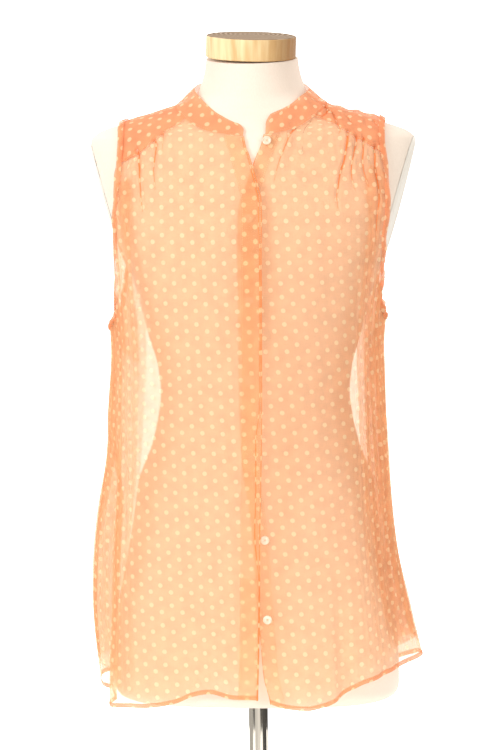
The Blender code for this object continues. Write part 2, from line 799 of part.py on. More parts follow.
def turned_disc(name, radius, thickness, bevel, sides, kind, collection):
    mesh = bpy.data.meshes.new(name)
    bm = bmesh.new()
    bmesh.ops.create_cone(bm, cap_ends=True, segments=sides, radius1=radius, radius2=radius,
                          depth=thickness)
    bm.to_mesh(mesh)
    bm.free()
    shade(mesh)
    piece = add_object(name, mesh, kind, collection)
    round_edge = piece.modifiers.new("Edge", "BEVEL")
    round_edge.width = bevel
    round_edge.segments = 2
    round_edge.limit_method = "ANGLE"
    return piece


def make_stand(collection):
    base = turned_disc("stand_base", BASE_RADIUS, BASE_THICKNESS, BASE_EDGE, BASE_SIDES,
                       "painted", collection)
    base.location.z = BASE_THICKNESS / 2
    low = BASE_THICKNESS + FACE_GAP
    high = FORM_UNDERSIDE - FACE_GAP
    pole = turned_disc("stand_pole", POLE_RADIUS, high - low, POLE_EDGE, POLE_SIDES,
                       "steel", collection)
    pole.location.z = (low + high) / 2


def form_mesh(name):
    """Loft the form's sections, with more levels where the shoulder turns in."""
    levels = [section.height for section in FORM_SECTIONS] + FORM_EXTRA_LEVELS
    heights = np.array(sorted(levels)) * MM
    turns = np.arange(FORM_SIDES) * 2 * math.pi / FORM_SIDES
    verts = []
    for height in heights:
        width = FORM["left"](height)
        depth = np.where(np.cos(turns) > 0, FORM["front"](height), FORM["back"](height))
        angle = np.arctan2(width * np.sin(turns), depth * np.cos(turns))
        verts += [tuple(p) for p in ring_point(FORM, angle, height)]
    faces = [tuple(range(FORM_SIDES))[::-1]]
    for i in range(len(heights) - 1):
        for j in range(FORM_SIDES):
            k = (j + 1) % FORM_SIDES
            a, b = i * FORM_SIDES + j, i * FORM_SIDES + k
            faces.append((a, b, b + FORM_SIDES, a + FORM_SIDES))
    last = (len(heights) - 1) * FORM_SIDES
    faces.append(tuple(range(last, last + FORM_SIDES)))
    mesh = bpy.data.meshes.new(name)
    mesh.from_pydata(verts, [], faces)
    mesh.validate()
    return mesh


def plate_frame(plate):
    """Placement of the flat armhole end: its local +X points out of the form."""
    centre = Vector((plate.side * plate.out, 0, FORM_UNDERSIDE + ARM_PLATE_HEIGHT))
    lean = Matrix.Rotation(plate.lean, 4, "Y")
    turn = Matrix.Rotation(-ARM_PLATE_TURN, 4, "Z")
    if plate.side < 0:
        flip = Matrix.Rotation(math.pi, 4, "Z")
        turn = Matrix.Rotation(ARM_PLATE_TURN, 4, "Z")
        return Matrix.Translation(centre) @ turn @ flip @ lean
    return Matrix.Translation(centre) @ turn @ lean


def cutter_box(name, plate, near, far, cutters):
    """A box across the arm, between two distances out from the armhole plane."""
    mesh = bpy.data.meshes.new(name)
    bm = bmesh.new()
    bmesh.ops.create_cube(bm, size=1)
    size = (far - near, ARM_CUT_WIDTH, ARM_CUT_TOP - ARM_CUT_BOTTOM)
    bmesh.ops.scale(bm, vec=size, verts=bm.verts)
    middle = ((far + near) / 2, 0, (ARM_CUT_TOP + ARM_CUT_BOTTOM) / 2)
    bmesh.ops.translate(bm, vec=middle, verts=bm.verts)
    bm.to_mesh(mesh)
    bm.free()
    box = bpy.data.objects.new(name, mesh)
    box.matrix_world = plate_frame(plate)
    box.hide_render = True
    box.display_type = "WIRE"
    cutters.objects.link(box)
    return box


def boolean(piece, cutter, operation):
    cut = piece.modifiers.new(cutter.name, "BOOLEAN")
    cut.operation = operation
    cut.solver = "EXACT"
    cut.object = cutter


def make_form(collection, cutters):
    torso = add_object("form_torso", form_mesh("form_torso"), "jersey", collection)
    for word, place in ARM_PLATES.items():
        arm = cutter_box("cut_arm_" + word, place, 0, ARM_CUT_REACH, cutters)
        boolean(torso, arm, "DIFFERENCE")
        name = "arm_plate_" + word
        plate = add_object(name, form_mesh(name), "plate", collection)
        far = FACE_GAP + ARM_PLATE_THICKNESS
        boolean(plate, cutter_box("slab_arm_" + word, place, FACE_GAP, far, cutters), "INTERSECT")
    cap = turned_disc("neck_cap", CAP_RADIUS, CAP_THICKNESS, CAP_EDGE, CAP_SIDES, "wood",
                      collection)
    top = FORM_UNDERSIDE + FORM_SECTIONS[-1].height * MM
    lean = Matrix.Rotation(NECK_LEAN, 4, "X")
    roll = Matrix.Rotation(CAP_ROLL, 4, "Y")
    lift = FACE_GAP + CAP_RADIUS * math.sin(CAP_ROLL) + CAP_THICKNESS / 2
    seat = Matrix.Translation((0, CAP_CENTRE_Y, top))
    cap.matrix_world = seat @ lean @ Matrix.Translation((0, 0, lift)) @ roll


# ---------------------------------------------------------------- cloth pieces

def front_panel_grid(side):
    """Angle and length grid of a front panel, columns from the closure to the side."""
    flap = side < 0
    near = resample(closure_edge(flap), SEAM_ROWS + ARMHOLE_ROWS)
    seam = resample(side_seam(side, -SIDE_SEAM_GAP), SEAM_ROWS)
    arm = armhole_edge(side, last=SEAM_LEFT[1][-1] / MM if flap else SEAM_RIGHT[1][-1] / MM)
    arm = resample(shorten_end(arm, SEAM_HALF_GAP * 2, 2 * SEAM_HALF_GAP), ARMHOLE_ROWS)
    far = joined(seam, arm)
    count = NECK_COLUMNS + GATHER_COLUMNS
    low = resample(hem_edge(near[0][0], far[0][0]), count)
    join = (SEAM_LEFT if flap else SEAM_RIGHT)[0][0]
    neck = resample(neck_edge(near[0][-1], join, -SEAM_HALF_GAP), NECK_COLUMNS)
    seam_top = resample(yoke_seam(side, -SEAM_HALF_GAP), GATHER_COLUMNS)
    high = joined(neck, seam_top)
    high[0][-1], high[1][-1] = far[0][-1], far[1][-1]
    low[0][-1], low[1][-1] = far[0][0], far[1][0]
    low[0][0], low[1][0] = near[0][0], near[1][0]
    high[0][0], high[1][0] = near[0][-1], near[1][-1]
    return blend_patch(low, high, near, far)


def make_fronts(collection):
    for side, name in ((-1, "front_right"), (1, "front_left")):
        angle, length = front_panel_grid(side)
        points = cloth_points(angle, length, flap=side < 0)
        if side < 0:
            points = points[:, ::-1]
        grid_object(name, points, WALL, "cloth", collection)


def back_grid():
    def edge(side):
        seam = side_seam(side, SIDE_SEAM_GAP)
        arm = armhole_edge(side, back=True, last=YOKE_BACK_CORNER)
        arm = resample(shorten_end(arm, SEAM_HALF_GAP * 2, 2 * SEAM_HALF_GAP), ARMHOLE_ROWS)
        angle, length = joined(resample(seam, SEAM_ROWS), arm)
        return np.where(angle < 0, angle + 2 * math.pi, angle), length

    near = edge(1)
    far = edge(-1)
    hem_angle = np.linspace(near[0][0], far[0][0], BACK_COLUMNS + 1)
    low = (hem_angle, length_at(hem_height(turn_difference(hem_angle, 0))))
    top_angle = np.linspace(near[0][-1], far[0][-1], BACK_COLUMNS + 1)
    top_height = yoke_back_height(turn_difference(top_angle, 0)) - SEAM_HALF_GAP
    high = (top_angle, length_at(top_height))
    near[1][-1] = high[1][0]
    far[1][-1] = high[1][-1]
    low[1][0] = near[1][0]
    low[1][-1] = far[1][0]
    return blend_patch(low, high, near, far)


def make_back(collection):
    angle, length = back_grid()
    points = cloth_points(turn_difference(angle, 0), length)
    grid_object("back", points, WALL, "cloth", collection)


def yoke_grid():
    """Yoke grid: columns run round the neck from one front seam to the other."""
    def shoulder(side):
        front_end = (SEAM_LEFT if side < 0 else SEAM_RIGHT)[1][-1] / MM
        front = armhole_edge(side, first=front_end, last=SHOULDER_POINT)
        back = armhole_edge(side, back=True, first=YOKE_BACK_CORNER, last=SHOULDER_POINT)
        whole = joined(front, (back[0][::-1], back[1][::-1]))
        return resample(whole, YOKE_SHOULDER_COLUMNS)

    def unwrap(curve):
        angle, length = curve
        return np.where(angle < 0, angle + 2 * math.pi, angle), length

    right = unwrap(shoulder(1))
    left = unwrap(shoulder(-1))
    back_angle = np.linspace(right[0][-1], left[0][-1], YOKE_BACK_COLUMNS + 1)
    back_height = yoke_back_height(turn_difference(back_angle, 0)) + SEAM_HALF_GAP
    outer = joined(right, (back_angle, length_at(back_height)), (left[0][::-1], left[1][::-1]))
    seam_right = resample(yoke_seam(1, YOKE_SEAM_GAP), YOKE_ROWS)
    seam_left = resample(unwrap(yoke_seam(-1, YOKE_SEAM_GAP)), YOKE_ROWS)
    count = len(outer[0]) - 1
    inset = YOKE_SEAM_GAP / NECK_RADIUS
    first = seam_right[0][0] + inset
    inner = resample(neck_edge(first, seam_left[0][0] - inset, -SEAM_HALF_GAP), count)
    for seam, k in ((seam_right, 0), (seam_left, -1)):
        outer[0][k], outer[1][k] = seam[0][-1], seam[1][-1]
        seam[0][0], seam[1][0] = inner[0][k], inner[1][k]
    return blend_patch(inner, outer, seam_right, seam_left)


def make_yoke(collection):
    angle, length = yoke_grid()
    points = cloth_points(turn_difference(angle, 0), length)
    grid_object("yoke", points[:, ::-1], DOUBLE_WALL, "cloth_double", collection)


def make_collar(collection):
    """Band collar: stands up from the neck seam and leans in towards the neck."""
    knots = [math.radians(row.angle) for row in BAND_TOP]
    radius_curve = monotone_curve(knots, [row.radius * MM for row in BAND_TOP])
    left_curve = monotone_curve(knots, [row.left * MM for row in BAND_TOP])
    right_curve = monotone_curve(knots, [row.right * MM for row in BAND_TOP])
    share = np.linspace(0, 1, BAND_COLUMNS + 1)
    rows = []
    for t in np.linspace(0, 1, BAND_ROWS + 1):
        first = math.radians(BAND_LEFT_END.seam * (1 - t) + BAND_LEFT_END.top * t)
        last = math.radians(BAND_RIGHT_END.seam * (1 - t) + BAND_RIGHT_END.top * t)
        angle = turn_difference(first + (last + 2 * math.pi - first) * share, 0)
        turn = np.abs(angle)
        lower = cloth_points(angle, length_at(neck_height(turn)) + BAND_RISE)
        radius = radius_curve(turn)
        height = np.where(angle < 0, right_curve(turn), left_curve(turn))
        upper = np.stack([radius * np.sin(angle), BAND_AXIS_Y - radius * np.cos(angle),
                          FORM_UNDERSIDE + height], axis=-1)
        outward = np.stack([np.sin(angle), -np.cos(angle), np.zeros_like(angle)], axis=-1)
        bow = BAND_BOW * math.sin(math.pi * t)
        rows.append(lower * (1 - t) + upper * t + outward * bow)
    points = clear_of_form(np.array(rows), BAND_CLEARANCE, FORM_SECTIONS[-1].height * MM)
    grid_object("collar_band", points, DOUBLE_WALL, "cloth_double", collection)


def closure_strip(name, flap, width, collection):
    """Strip that lies on a front panel along its centre front edge."""
    inset = np.linspace(0, width, STRIP_COLUMNS + 1) * (-1 if flap else 1)
    out = WALL + LAYER_GAP
    grids = []
    for step in inset:
        edge = shorten_end(closure_edge(flap, step), 0, STRIP_END)
        curve = resample(edge, SEAM_ROWS + ARMHOLE_ROWS)
        grids.append(cloth_points(*curve, out=out, flap=flap))
    points = np.array(grids).transpose(1, 0, 2)
    if flap:
        points = points[:, ::-1]
    grid_object(name, points, WALL, "cloth_double", collection)


def make_binding(side, name, collection):
    """Bias strip round the armhole, on top of the three panels that meet there."""
    front = armhole_edge(side)
    back = armhole_edge(side, back=True)
    front = resample(front, BINDING_STEPS)
    back = resample(back, BINDING_STEPS)
    angle = np.concatenate([front[0], back[0][::-1][1:-1]])
    length = np.concatenate([front[1], back[1][::-1][1:-1]])
    place, normal, _, _ = base_frame(angle, length)
    along = np.roll(place, -1, axis=0) - np.roll(place, 1, axis=0)
    along /= np.linalg.norm(along, axis=-1, keepdims=True)
    inward = np.cross(normal, along) * side
    out = WALL + LAYER_GAP
    high = smooth_step((height_at(length) - SHOULDER_FROM) / SHOULDER_RUN)
    out = out + high * (DOUBLE_WALL - WALL + SHOULDER_GAP)
    edge = cloth_points(angle, length)
    inner_angle, inner_length = step_on_surface(angle, length, inward, BINDING_WIDTH)
    inner = cloth_points(inner_angle, inner_length)
    rows = np.array([edge + normal * out[:, None], inner + normal * out[:, None]])
    if side < 0:
        rows = rows[::-1]
    grid_object(name, rows, WALL, "cloth_double", collection, closed=True)


def make_buttons(collection):
    stack = 2 * (WALL + LAYER_GAP)
    for number, place in enumerate(BUTTONS, start=1):
        height = place.height * MM
        angle = side_angle(place.out * MM, height)
        length = length_at(height)
        out = stack + BUTTON_THICKNESS / 2
        centre = cloth_points(angle, length, out=out)
        _, normal, _, _ = base_frame(angle, length)
        name = f"button_{number}"
        piece = turned_disc(name, BUTTON_RADIUS, BUTTON_THICKNESS, BUTTON_BEVEL, BUTTON_SIDES,
                            "button", collection)
        piece.modifiers["Edge"].segments = 1
        facing = Vector(normal).to_track_quat("Z", "Y").to_matrix().to_4x4()
        piece.matrix_world = Matrix.Translation(Vector(centre)) @ facing


def main():
    for piece in list(bpy.data.objects):
        bpy.data.objects.remove(piece)
    scene = bpy.context.scene
    collection = bpy.data.collections.new("sleeveless_shirt_on_dress_form")
    cutters = bpy.data.collections.new("cutters")
    scene.collection.children.link(collection)
    scene.collection.children.link(cutters)
    make_stand(collection)
    make_form(collection, cutters)
    make_fronts(collection)
    make_back(collection)
    make_yoke(collection)
    make_collar(collection)
    closure_strip("placket_fly", True, FLY_WIDTH, collection)
    closure_strip("button_stand", False, STAND_WIDTH, collection)
    make_binding(-1, "armhole_binding_right", collection)
    make_binding(1, "armhole_binding_left", collection)
    make_buttons(collection)


main()
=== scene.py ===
"""Looks of a sleeveless blouse on a dress form: fine cloth shells, finishes, light and camera.

Every cloth piece lies on one drape surface.  A point of it is given by an angle round the body
(0 at the front, positive towards +X) and by a profile length that runs up the side and in over
the shoulder.  Lengths in the tables are millimetres, and heights there are measured from the
form's underside.
"""

from collections import namedtuple
import math

import bpy
from mathutils import Matrix, Vector
import numpy as np


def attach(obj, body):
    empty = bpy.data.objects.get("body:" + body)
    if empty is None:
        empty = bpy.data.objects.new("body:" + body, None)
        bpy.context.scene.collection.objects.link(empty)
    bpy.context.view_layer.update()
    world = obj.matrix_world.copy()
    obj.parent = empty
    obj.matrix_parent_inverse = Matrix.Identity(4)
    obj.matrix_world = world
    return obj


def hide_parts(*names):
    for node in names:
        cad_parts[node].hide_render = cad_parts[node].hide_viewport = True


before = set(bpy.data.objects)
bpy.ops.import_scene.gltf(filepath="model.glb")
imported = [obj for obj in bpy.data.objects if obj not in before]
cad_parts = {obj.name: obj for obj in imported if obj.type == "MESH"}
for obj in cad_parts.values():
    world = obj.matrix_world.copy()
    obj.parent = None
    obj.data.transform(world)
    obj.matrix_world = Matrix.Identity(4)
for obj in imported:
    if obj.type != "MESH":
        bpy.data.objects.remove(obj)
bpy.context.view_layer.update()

MM = 0.001

# Stand and form
FORM_UNDERSIDE = 260 * MM
FORM_SIDES = 144
FORM_EDGE_TOP = 20 * MM
ArmPlate = namedtuple("ArmPlate", "side out lean")
ARM_PLATES = {
    "right": ArmPlate(-1, 158 * MM, math.radians(16)),
    "left": ArmPlate(1, 157 * MM, math.radians(15)),
}
ARM_PLATE_HEIGHT = 543 * MM
ARM_PLATE_TURN = math.radians(4)
ARM_PLATE_LOW = 485 * MM
NECK_LEAN_START = 715 * MM
NECK_LEAN_RUN = 30 * MM
NECK_LEAN = math.radians(5.5)
CAP_CENTRE_Y = -15 * MM

# Cloth
WALL = 1.2 * MM
DOUBLE_WALL = 1.8 * MM
REST_GAP = 0.8 * MM
LOOSE_GAP = 2.2 * MM
STRIP_END = 3.0 * MM
SEAM_HALF_GAP = 0.3 * MM
YOKE_SEAM_GAP = 0.4 * MM
SIDE_SEAM_GAP = 0.3 * MM
SIDE_SEAM_RADIUS = 170 * MM
SIDE_SEAM_HEM_RIGHT = math.radians(86)
SIDE_SEAM_HEM_LEFT = math.radians(94)
NECK_RADIUS = 90 * MM
LAYER_GAP = 0.65 * MM
SHOULDER_GAP = 0.6 * MM
SHOULDER_FROM = 600 * MM
SHOULDER_RUN = 45 * MM
FORM_CLEARANCE = 4.0 * MM
SHOULDER_REST_DEPTH = 22 * MM
SHOULDER_REST_FROM = 686 * MM
SHOULDER_REST_RUN = 8 * MM
FLAP_LIFT = 7.2 * MM
FLAP_LIFT_FROM = -48 * MM
FLAP_LIFT_RUN = 34 * MM
FLAP_FADE_FROM = 630 * MM
FLAP_FADE_RUN = 36 * MM
FLY_WIDTH = 23 * MM
STAND_WIDTH = 18 * MM
BINDING_WIDTH = 7.5 * MM
HEM_WIDTH = 5.5 * MM
CLOSURE_LOW = 15 * MM
CLOSURE_HIGH = 680 * MM
BAND_BOW = 1.5 * MM
BAND_CLEARANCE = 1.1 * MM

# Grid counts
DENSE = 600
NECK_COLUMNS = 120
GATHER_COLUMNS = 280
SEAM_ROWS = 84
ARMHOLE_ROWS = 96
BACK_COLUMNS = 600
COLUMN_STEP = 3
BACK_SEAM_REACH = 1.15
YOKE_SHOULDER_COLUMNS = 90
YOKE_BACK_COLUMNS = 64
YOKE_ROWS = 60
BAND_COLUMNS = 180
BAND_ROWS = 12
STRIP_COLUMNS = 8
BINDING_STEPS = 240
BINDING_ROWS = 6
HEM_STEPS = 360

# Buttons
BUTTON_RADIUS = 5.25 * MM
BUTTON_THICKNESS = 2.0 * MM

# Looks
DOT_COLUMN = 12.4 * MM
DOT_PITCH = 16 * MM
DOT_RADIUS = 2.75 * MM
DOT_EDGE = 0.45 * MM
DOT_FUZZ = 0.9 * MM
DOT_LEAN_RIGHT = 2.4
DOT_LEAN_LEFT = 4.8
CLOTH_COLOUR = (0.98, 0.52, 0.28)
CLOTH_DOUBLE_COLOUR = (0.95, 0.375, 0.175)
DOT_COLOUR = (0.98, 0.76, 0.46)
CLOTH_COVER = 0.50
DOT_COVER = 0.62
TRANSLUCENT_SHARE = 0.25
CLEAR_TINT = (1.0, 0.97, 0.92)
YOKE_STRETCH = 1.05
HEM_BULGE = 0.5 * MM
BINDING_BULGE = 0.5 * MM
SEAM_ALLOWANCE = 5.0 * MM
BAND_CORNER = 0.10
BAND_CORNER_FROM = 0.45
STITCH_PITCH = 2.6 * MM
STITCH_LENGTH = 1.9 * MM
STITCH_RADIUS = 0.2 * MM
FLOOR_REACH = 0.72
BAND_LAP = 1.0 * MM
BAND_LAP_OUT = 1.1 * MM
FOLD_ROWS = 260
TUCK_STEPS = 60
# How dense a piece looks, as a number of layers of the sheer cloth; chosen for the look.
STRIP_LAYERS = 0.2
FOLD_LAYERS = 2.2
SOFT_FOLD_LAYERS = 1.6
TUCK_LAYERS = 2.4
ALLOWANCE_LAYERS = 0.5
# The +X ('left') side's layer is denser than the others: partly the cloth's density where it turns away,
# partly painted shade on the side away from the key light.
SIDE_LAYERS = {"right": 0.55, "arm": 0.6, "left": 1.0}
STRIP_COLOUR = (0.98, 0.56, 0.31)
# Deeper than the cloth's own colour: painted shade along the folded edges and in the tucks of the creases,
# on top of their extra layers.
FOLD_SHADE_COLOUR = (0.95, 0.26, 0.07)
BACKDROP_STRENGTH = 2.2
WORLD_STRENGTH = 0.68
KEY_POWER = 74
FILL_POWER = 28
BACK_POWER = 25
TOP_POWER = 12
FLOOR_GLOW = 0.5
ROOM = [(0.0, 0.50), (0.16, 0.52), (0.30, 0.56), (0.36, 0.20), (0.42, 0.26), (0.455, 1.0),
        (0.53, 1.0), (0.575, 0.15), (0.75, 0.09), (0.92, 0.08)]

# Painted shade: the extra layer at the +X side, away from the key light, takes this deeper colour.
SIDE_FOLD_SHADE_COLOUR = (0.97, 0.47, 0.24)
SIDE_FOLD_SHIFT = 5 * MM
DOUBLE_DOT_SHARE = 0.72
YOKE_RIDGE_PLACE = -5 * MM
YOKE_RIDGE_TOP = 998 * MM
YOKE_RIDGE_FALL = 0.2525
YOKE_RISE = 0.75

Section = namedtuple("Section", "height left right front back square")
FORM_SECTIONS = [
    Section(0, 160, 160, 93, 90, 2.8),
    Section(4, 168, 168, 100, 98, 2.8),
    Section(12, 172, 172, 104, 101, 2.8),
    Section(60, 171, 171, 105, 103, 2.7),
    Section(120, 166, 166, 106, 104, 2.5),
    Section(165, 158, 158, 104, 102, 2.4),
    Section(220, 148, 148, 100, 98, 2.3),
    Section(262, 142, 142, 95, 93, 2.2),
    Section(304, 126, 126, 90, 87, 2.1),
    Section(342, 117, 117, 87, 82, 2.1),
    Section(368, 114, 114, 86, 80, 2.1),
    Section(400, 117, 117, 90, 81, 2.1),
    Section(440, 128, 128, 104, 85, 2.2),
    Section(480, 138, 138, 119, 90, 2.3),
    Section(520, 152, 152, 127, 94, 2.3),
    Section(550, 165, 165, 127, 96, 2.3),
    Section(580, 178, 178, 120, 98, 2.2),
    Section(610, 188, 188, 109, 98, 2.1),
    Section(640, 196, 196, 97, 93, 2.0),
    Section(660, 197, 197, 89, 86, 2.0),
    Section(674, 194, 194, 84, 79, 2.0),
    Section(683, 183, 183, 80, 73, 2.0),
    Section(689, 166.5, 166.5, 78, 68, 2.0),
    Section(694, 150, 150, 76, 64, 2.0),
    Section(700, 130.5, 130.5, 74, 60, 2.0),
    Section(706, 111, 111, 72.5, 56.5, 2.0),
    Section(711, 95, 95, 71, 53.5, 2.0),
    Section(718, 79, 79, 70, 49.5, 2.0),
    Section(728, 66, 66, 69, 46, 2.0),
    Section(740, 60.5, 60.5, 69, 43.5, 2.0),
    Section(752, 57, 57, 69, 41.5, 2.0),
    Section(768, 54.6, 54.6, 69.6, 39.6, 2.0),
]
CLOTH_SECTIONS = [
    Section(-40, 183, 208, 121, 112, 2.35),
    Section(20, 190, 198, 121, 112, 2.35),
    Section(60, 194, 189, 122, 112, 2.35),
    Section(110, 197, 177, 123, 112, 2.35),
    Section(165, 195, 167, 124, 111, 2.35),
    Section(220, 190, 161, 126, 110, 2.35),
    Section(290, 179, 156, 128, 108, 2.35),
    Section(360, 172, 152, 130, 106, 2.35),
    Section(420, 168, 151, 132, 104, 2.35),
    Section(463, 171, 154, 133, 103, 2.35),
    Section(520, 175, 164, 134, 103, 2.35),
    Section(550, 178, 171, 133, 103, 2.35),
    Section(580, 183, 181, 126, 103, 2.25),
    Section(610, 189, 189, 112, 100, 2.1),
] + [section for section in FORM_SECTIONS if section.height >= 640]

EdgePoint = namedtuple("EdgePoint", "height left right")
FRONT_ARMHOLE = [
    EdgePoint(481, 160, 153),
    EdgePoint(504, 158, 153),
    EdgePoint(553, 157, 156),
    EdgePoint(601, 157, 161),
    EdgePoint(645, 155, 160),
    EdgePoint(672, 154, 157),
    EdgePoint(692, 157, 157),
]
BACK_ARMHOLE = [
    EdgePoint(481, 163, 149),
    EdgePoint(504, 160, 146),
    EdgePoint(553, 157, 147),
    EdgePoint(601, 157, 150),
    EdgePoint(645, 156, 154),
    EdgePoint(672, 155, 155),
    EdgePoint(692, 157, 157),
]
SHOULDER_POINT = 692
UNDERARM_LEFT = 452
UNDERARM_RIGHT = 464

ClosureEdge = namedtuple("ClosureEdge", "height flap stand")
CLOSURE_EDGES = [
    ClosureEdge(-20, 9, 24),
    ClosureEdge(12, 9.5, 23),
    ClosureEdge(44, 10.5, 16),
    ClosureEdge(88, 12, 12.5),
    ClosureEdge(136, 13, 9),
    ClosureEdge(209, 14, 5),
    ClosureEdge(254, 15, 0),
    ClosureEdge(304, 16.5, -7),
    ClosureEdge(400, 18, -9),
    ClosureEdge(583, 19, -9),
    ClosureEdge(601, 18, -7),
    ClosureEdge(615, 14.5, -2),
    ClosureEdge(632, 9.5, 3),
    ClosureEdge(653, 3.5, 10),
    ClosureEdge(668, -2, 16),
    ClosureEdge(690, -6, 21),
]

SeamPoint = namedtuple("SeamPoint", "side out height")
YOKE_FRONT_SEAM = [
    SeamPoint(-1, 76, 695),
    SeamPoint(-1, 92, 686),
    SeamPoint(-1, 105, 677),
    SeamPoint(-1, 118, 666),
    SeamPoint(-1, 131, 656),
    SeamPoint(-1, 143, 650),
    SeamPoint(-1, 155, 645),
    SeamPoint(1, 73, 699),
    SeamPoint(1, 90, 694),
    SeamPoint(1, 107, 686),
    SeamPoint(1, 120, 677),
    SeamPoint(1, 132, 670),
    SeamPoint(1, 146, 662),
    SeamPoint(1, 158, 653),
]
YOKE_BACK_CORNER = 622
YOKE_BACK_CENTRE = 612
YOKE_BACK_TURN = math.radians(70)

TurnHeight = namedtuple("TurnHeight", "angle height")
NECK_SEAM = [
    TurnHeight(0, 678),
    TurnHeight(12, 680),
    TurnHeight(33, 685),
    TurnHeight(41, 690),
    TurnHeight(49, 697),
    TurnHeight(60, 706),
    TurnHeight(88, 715),
    TurnHeight(130, 718),
    TurnHeight(180, 719),
]
HEM = [
    TurnHeight(-180, -8),
    TurnHeight(-150, -5),
    TurnHeight(-120, 6),
    TurnHeight(-102, 16),
    TurnHeight(-90, 10),
    TurnHeight(-80, 6),
    TurnHeight(-68, 0),
    TurnHeight(-56, 1),
    TurnHeight(-47, 4),
    TurnHeight(-39, 9),
    TurnHeight(-31, 18),
    TurnHeight(-21, 23),
    TurnHeight(-9, 19),
    TurnHeight(4, 18),
    TurnHeight(11, 12),
    TurnHeight(20, 6),
    TurnHeight(30, 4),
    TurnHeight(38, 8),
    TurnHeight(46, 19),
    TurnHeight(52, 31),
    TurnHeight(58, 36),
    TurnHeight(67, 42),
    TurnHeight(78, 47),
    TurnHeight(90, 48),
    TurnHeight(102, 40),
    TurnHeight(122, 18),
    TurnHeight(150, -2),
    TurnHeight(180, -8),
]
BandPoint = namedtuple("BandPoint", "angle radius right left")
BAND_AXIS_Y = -12 * MM
BAND_TOP = [
    BandPoint(0, 66.5, 690, 699),
    BandPoint(15, 66.5, 695, 701),
    BandPoint(30, 67, 704, 707),
    BandPoint(45, 68, 714, 714),
    BandPoint(62, 68, 725, 724),
    BandPoint(85, 67.5, 734, 731),
    BandPoint(125, 65, 741, 740),
    BandPoint(180, 62, 745, 745),
]
BandEnd = namedtuple("BandEnd", "seam top")
BAND_RIGHT_END = BandEnd(-3.6, -3.2)
BAND_LEFT_END = BandEnd(14.2, 17.4)

# Folds.  Each is deepest at its first end and fades out towards its second.
Fold = namedtuple("Fold", "angle height end_angle end_height spread depth")
GATHERS = [
    Fold(-66.5, 650, -66.0, 575, 5.0, -4.2),
    Fold(-59.5, 662, -61.0, 590, 5.5, -4.2),
    Fold(-55.0, 672, -54.5, 620, 5.0, -2.4),
    Fold(-71.0, 645, -70.5, 560, 4.0, -2.0),
    Fold(58.0, 682, 51.5, 585, 5.5, -5.0),
    Fold(62.0, 672, 60.0, 570, 5.0, -4.4),
    Fold(65.5, 668, 67.5, 575, 4.6, -4.2),
    Fold(69.5, 662, 71.0, 545, 4.4, -4.0),
    Fold(53.5, 688, 48.0, 630, 5.0, -2.8),
    Fold(32.0, 684, 18.0, 610, 7.0, 3.2),
    Fold(42.0, 690, 24.0, 600, 8.0, 2.6),
    Fold(150.0, 612, 152.0, 500, 9.0, -4.0),
    Fold(157.0, 612, 158.0, 470, 8.0, -5.0),
    Fold(164.0, 612, 163.0, 480, 8.0, -4.0),
    Fold(171.0, 612, 172.0, 440, 8.0, -5.0),
    Fold(180.0, 612, 180.0, 470, 8.0, -4.0),
    Fold(-171.0, 612, -170.0, 450, 8.0, -5.0),
    Fold(-163.0, 612, -165.0, 490, 8.0, -4.0),
    Fold(-155.0, 612, -154.0, 460, 9.0, -5.0),
    Fold(-148.0, 612, -149.0, 510, 8.0, -3.5),
]
HANGING_FOLDS = [
    Fold(-76.0, 225, -77.0, 350, 25.0, -25.0),
    Fold(-66.0, -10, -64.0, 130, 20.0, 17.0),
    Fold(-100.0, 10, -98.0, 330, 24.0, 6.0),
    Fold(-36.0, 10, -30.0, 330, 26.0, -5.0),
    Fold(-50.0, -5, -46.0, 300, 24.0, 4.0),
    Fold(-12.0, 10, -14.0, 260, 20.0, 3.0),
    Fold(30.0, 0, 26.0, 300, 30.0, 5.0),
    Fold(46.5, 20, 44.0, 190, 9.0, -10.0),
    Fold(56.0, 20, 53.0, 260, 15.0, 6.0),
    Fold(72.0, 30, 70.0, 330, 20.0, -6.0),
    Fold(86.0, 40, 86.0, 260, 18.0, 7.0),
    Fold(112.0, 20, 110.0, 350, 22.0, -9.0),
    Fold(132.0, 0, 134.0, 380, 24.0, 7.0),
    Fold(150.0, -10, 154.0, 400, 20.0, -8.0),
    Fold(170.0, -10, 168.0, 420, 24.0, 7.0),
    Fold(-172.0, -10, -176.0, 360, 20.0, -7.0),
    Fold(-154.0, -10, -152.0, 400, 24.0, 8.0),
    Fold(-134.0, 0, -136.0, 340, 20.0, -7.0),
    Fold(-118.0, 10, -116.0, 300, 20.0, 5.0),
]
Puff = namedtuple("Puff", "out depth spread_out spread_depth lift")
SHOULDER_PUFFS = [
    Puff(144, -8, 12, 34, 4.5),
    Puff(124, -6, 7, 32, 3.6),
    Puff(104, -14, 7, 26, 2.6),
    Puff(88, -20, 6, 20, 1.8),
    Puff(-140, -6, 14, 30, 1.2),
    Puff(-104, -12, 16, 26, 0.8),
]
GatherZone = namedtuple("GatherZone", "first rise last fall")
GATHER_ZONES = [
    GatherZone(46, 10, 78, 8),
    GatherZone(140, 12, 360, 8),
]
GATHER_PUFF = 3.8 * MM
GATHER_PUFF_DROP = 110 * MM
SEAM_PIN = 14 * MM
HANG_RUN = 120 * MM
PUFF_FROM = 620 * MM
PUFF_RUN = 40 * MM

ButtonPlace = namedtuple("ButtonPlace", "out height")
BUTTONS = [
    ButtonPlace(22.5, 671.5),
    ButtonPlace(3.5, 583),
    ButtonPlace(3.5, 490),
    ButtonPlace(3.5, 397),
    ButtonPlace(5.5, 304),
    ButtonPlace(19.0, 209),
    ButtonPlace(21.0, 114),
]

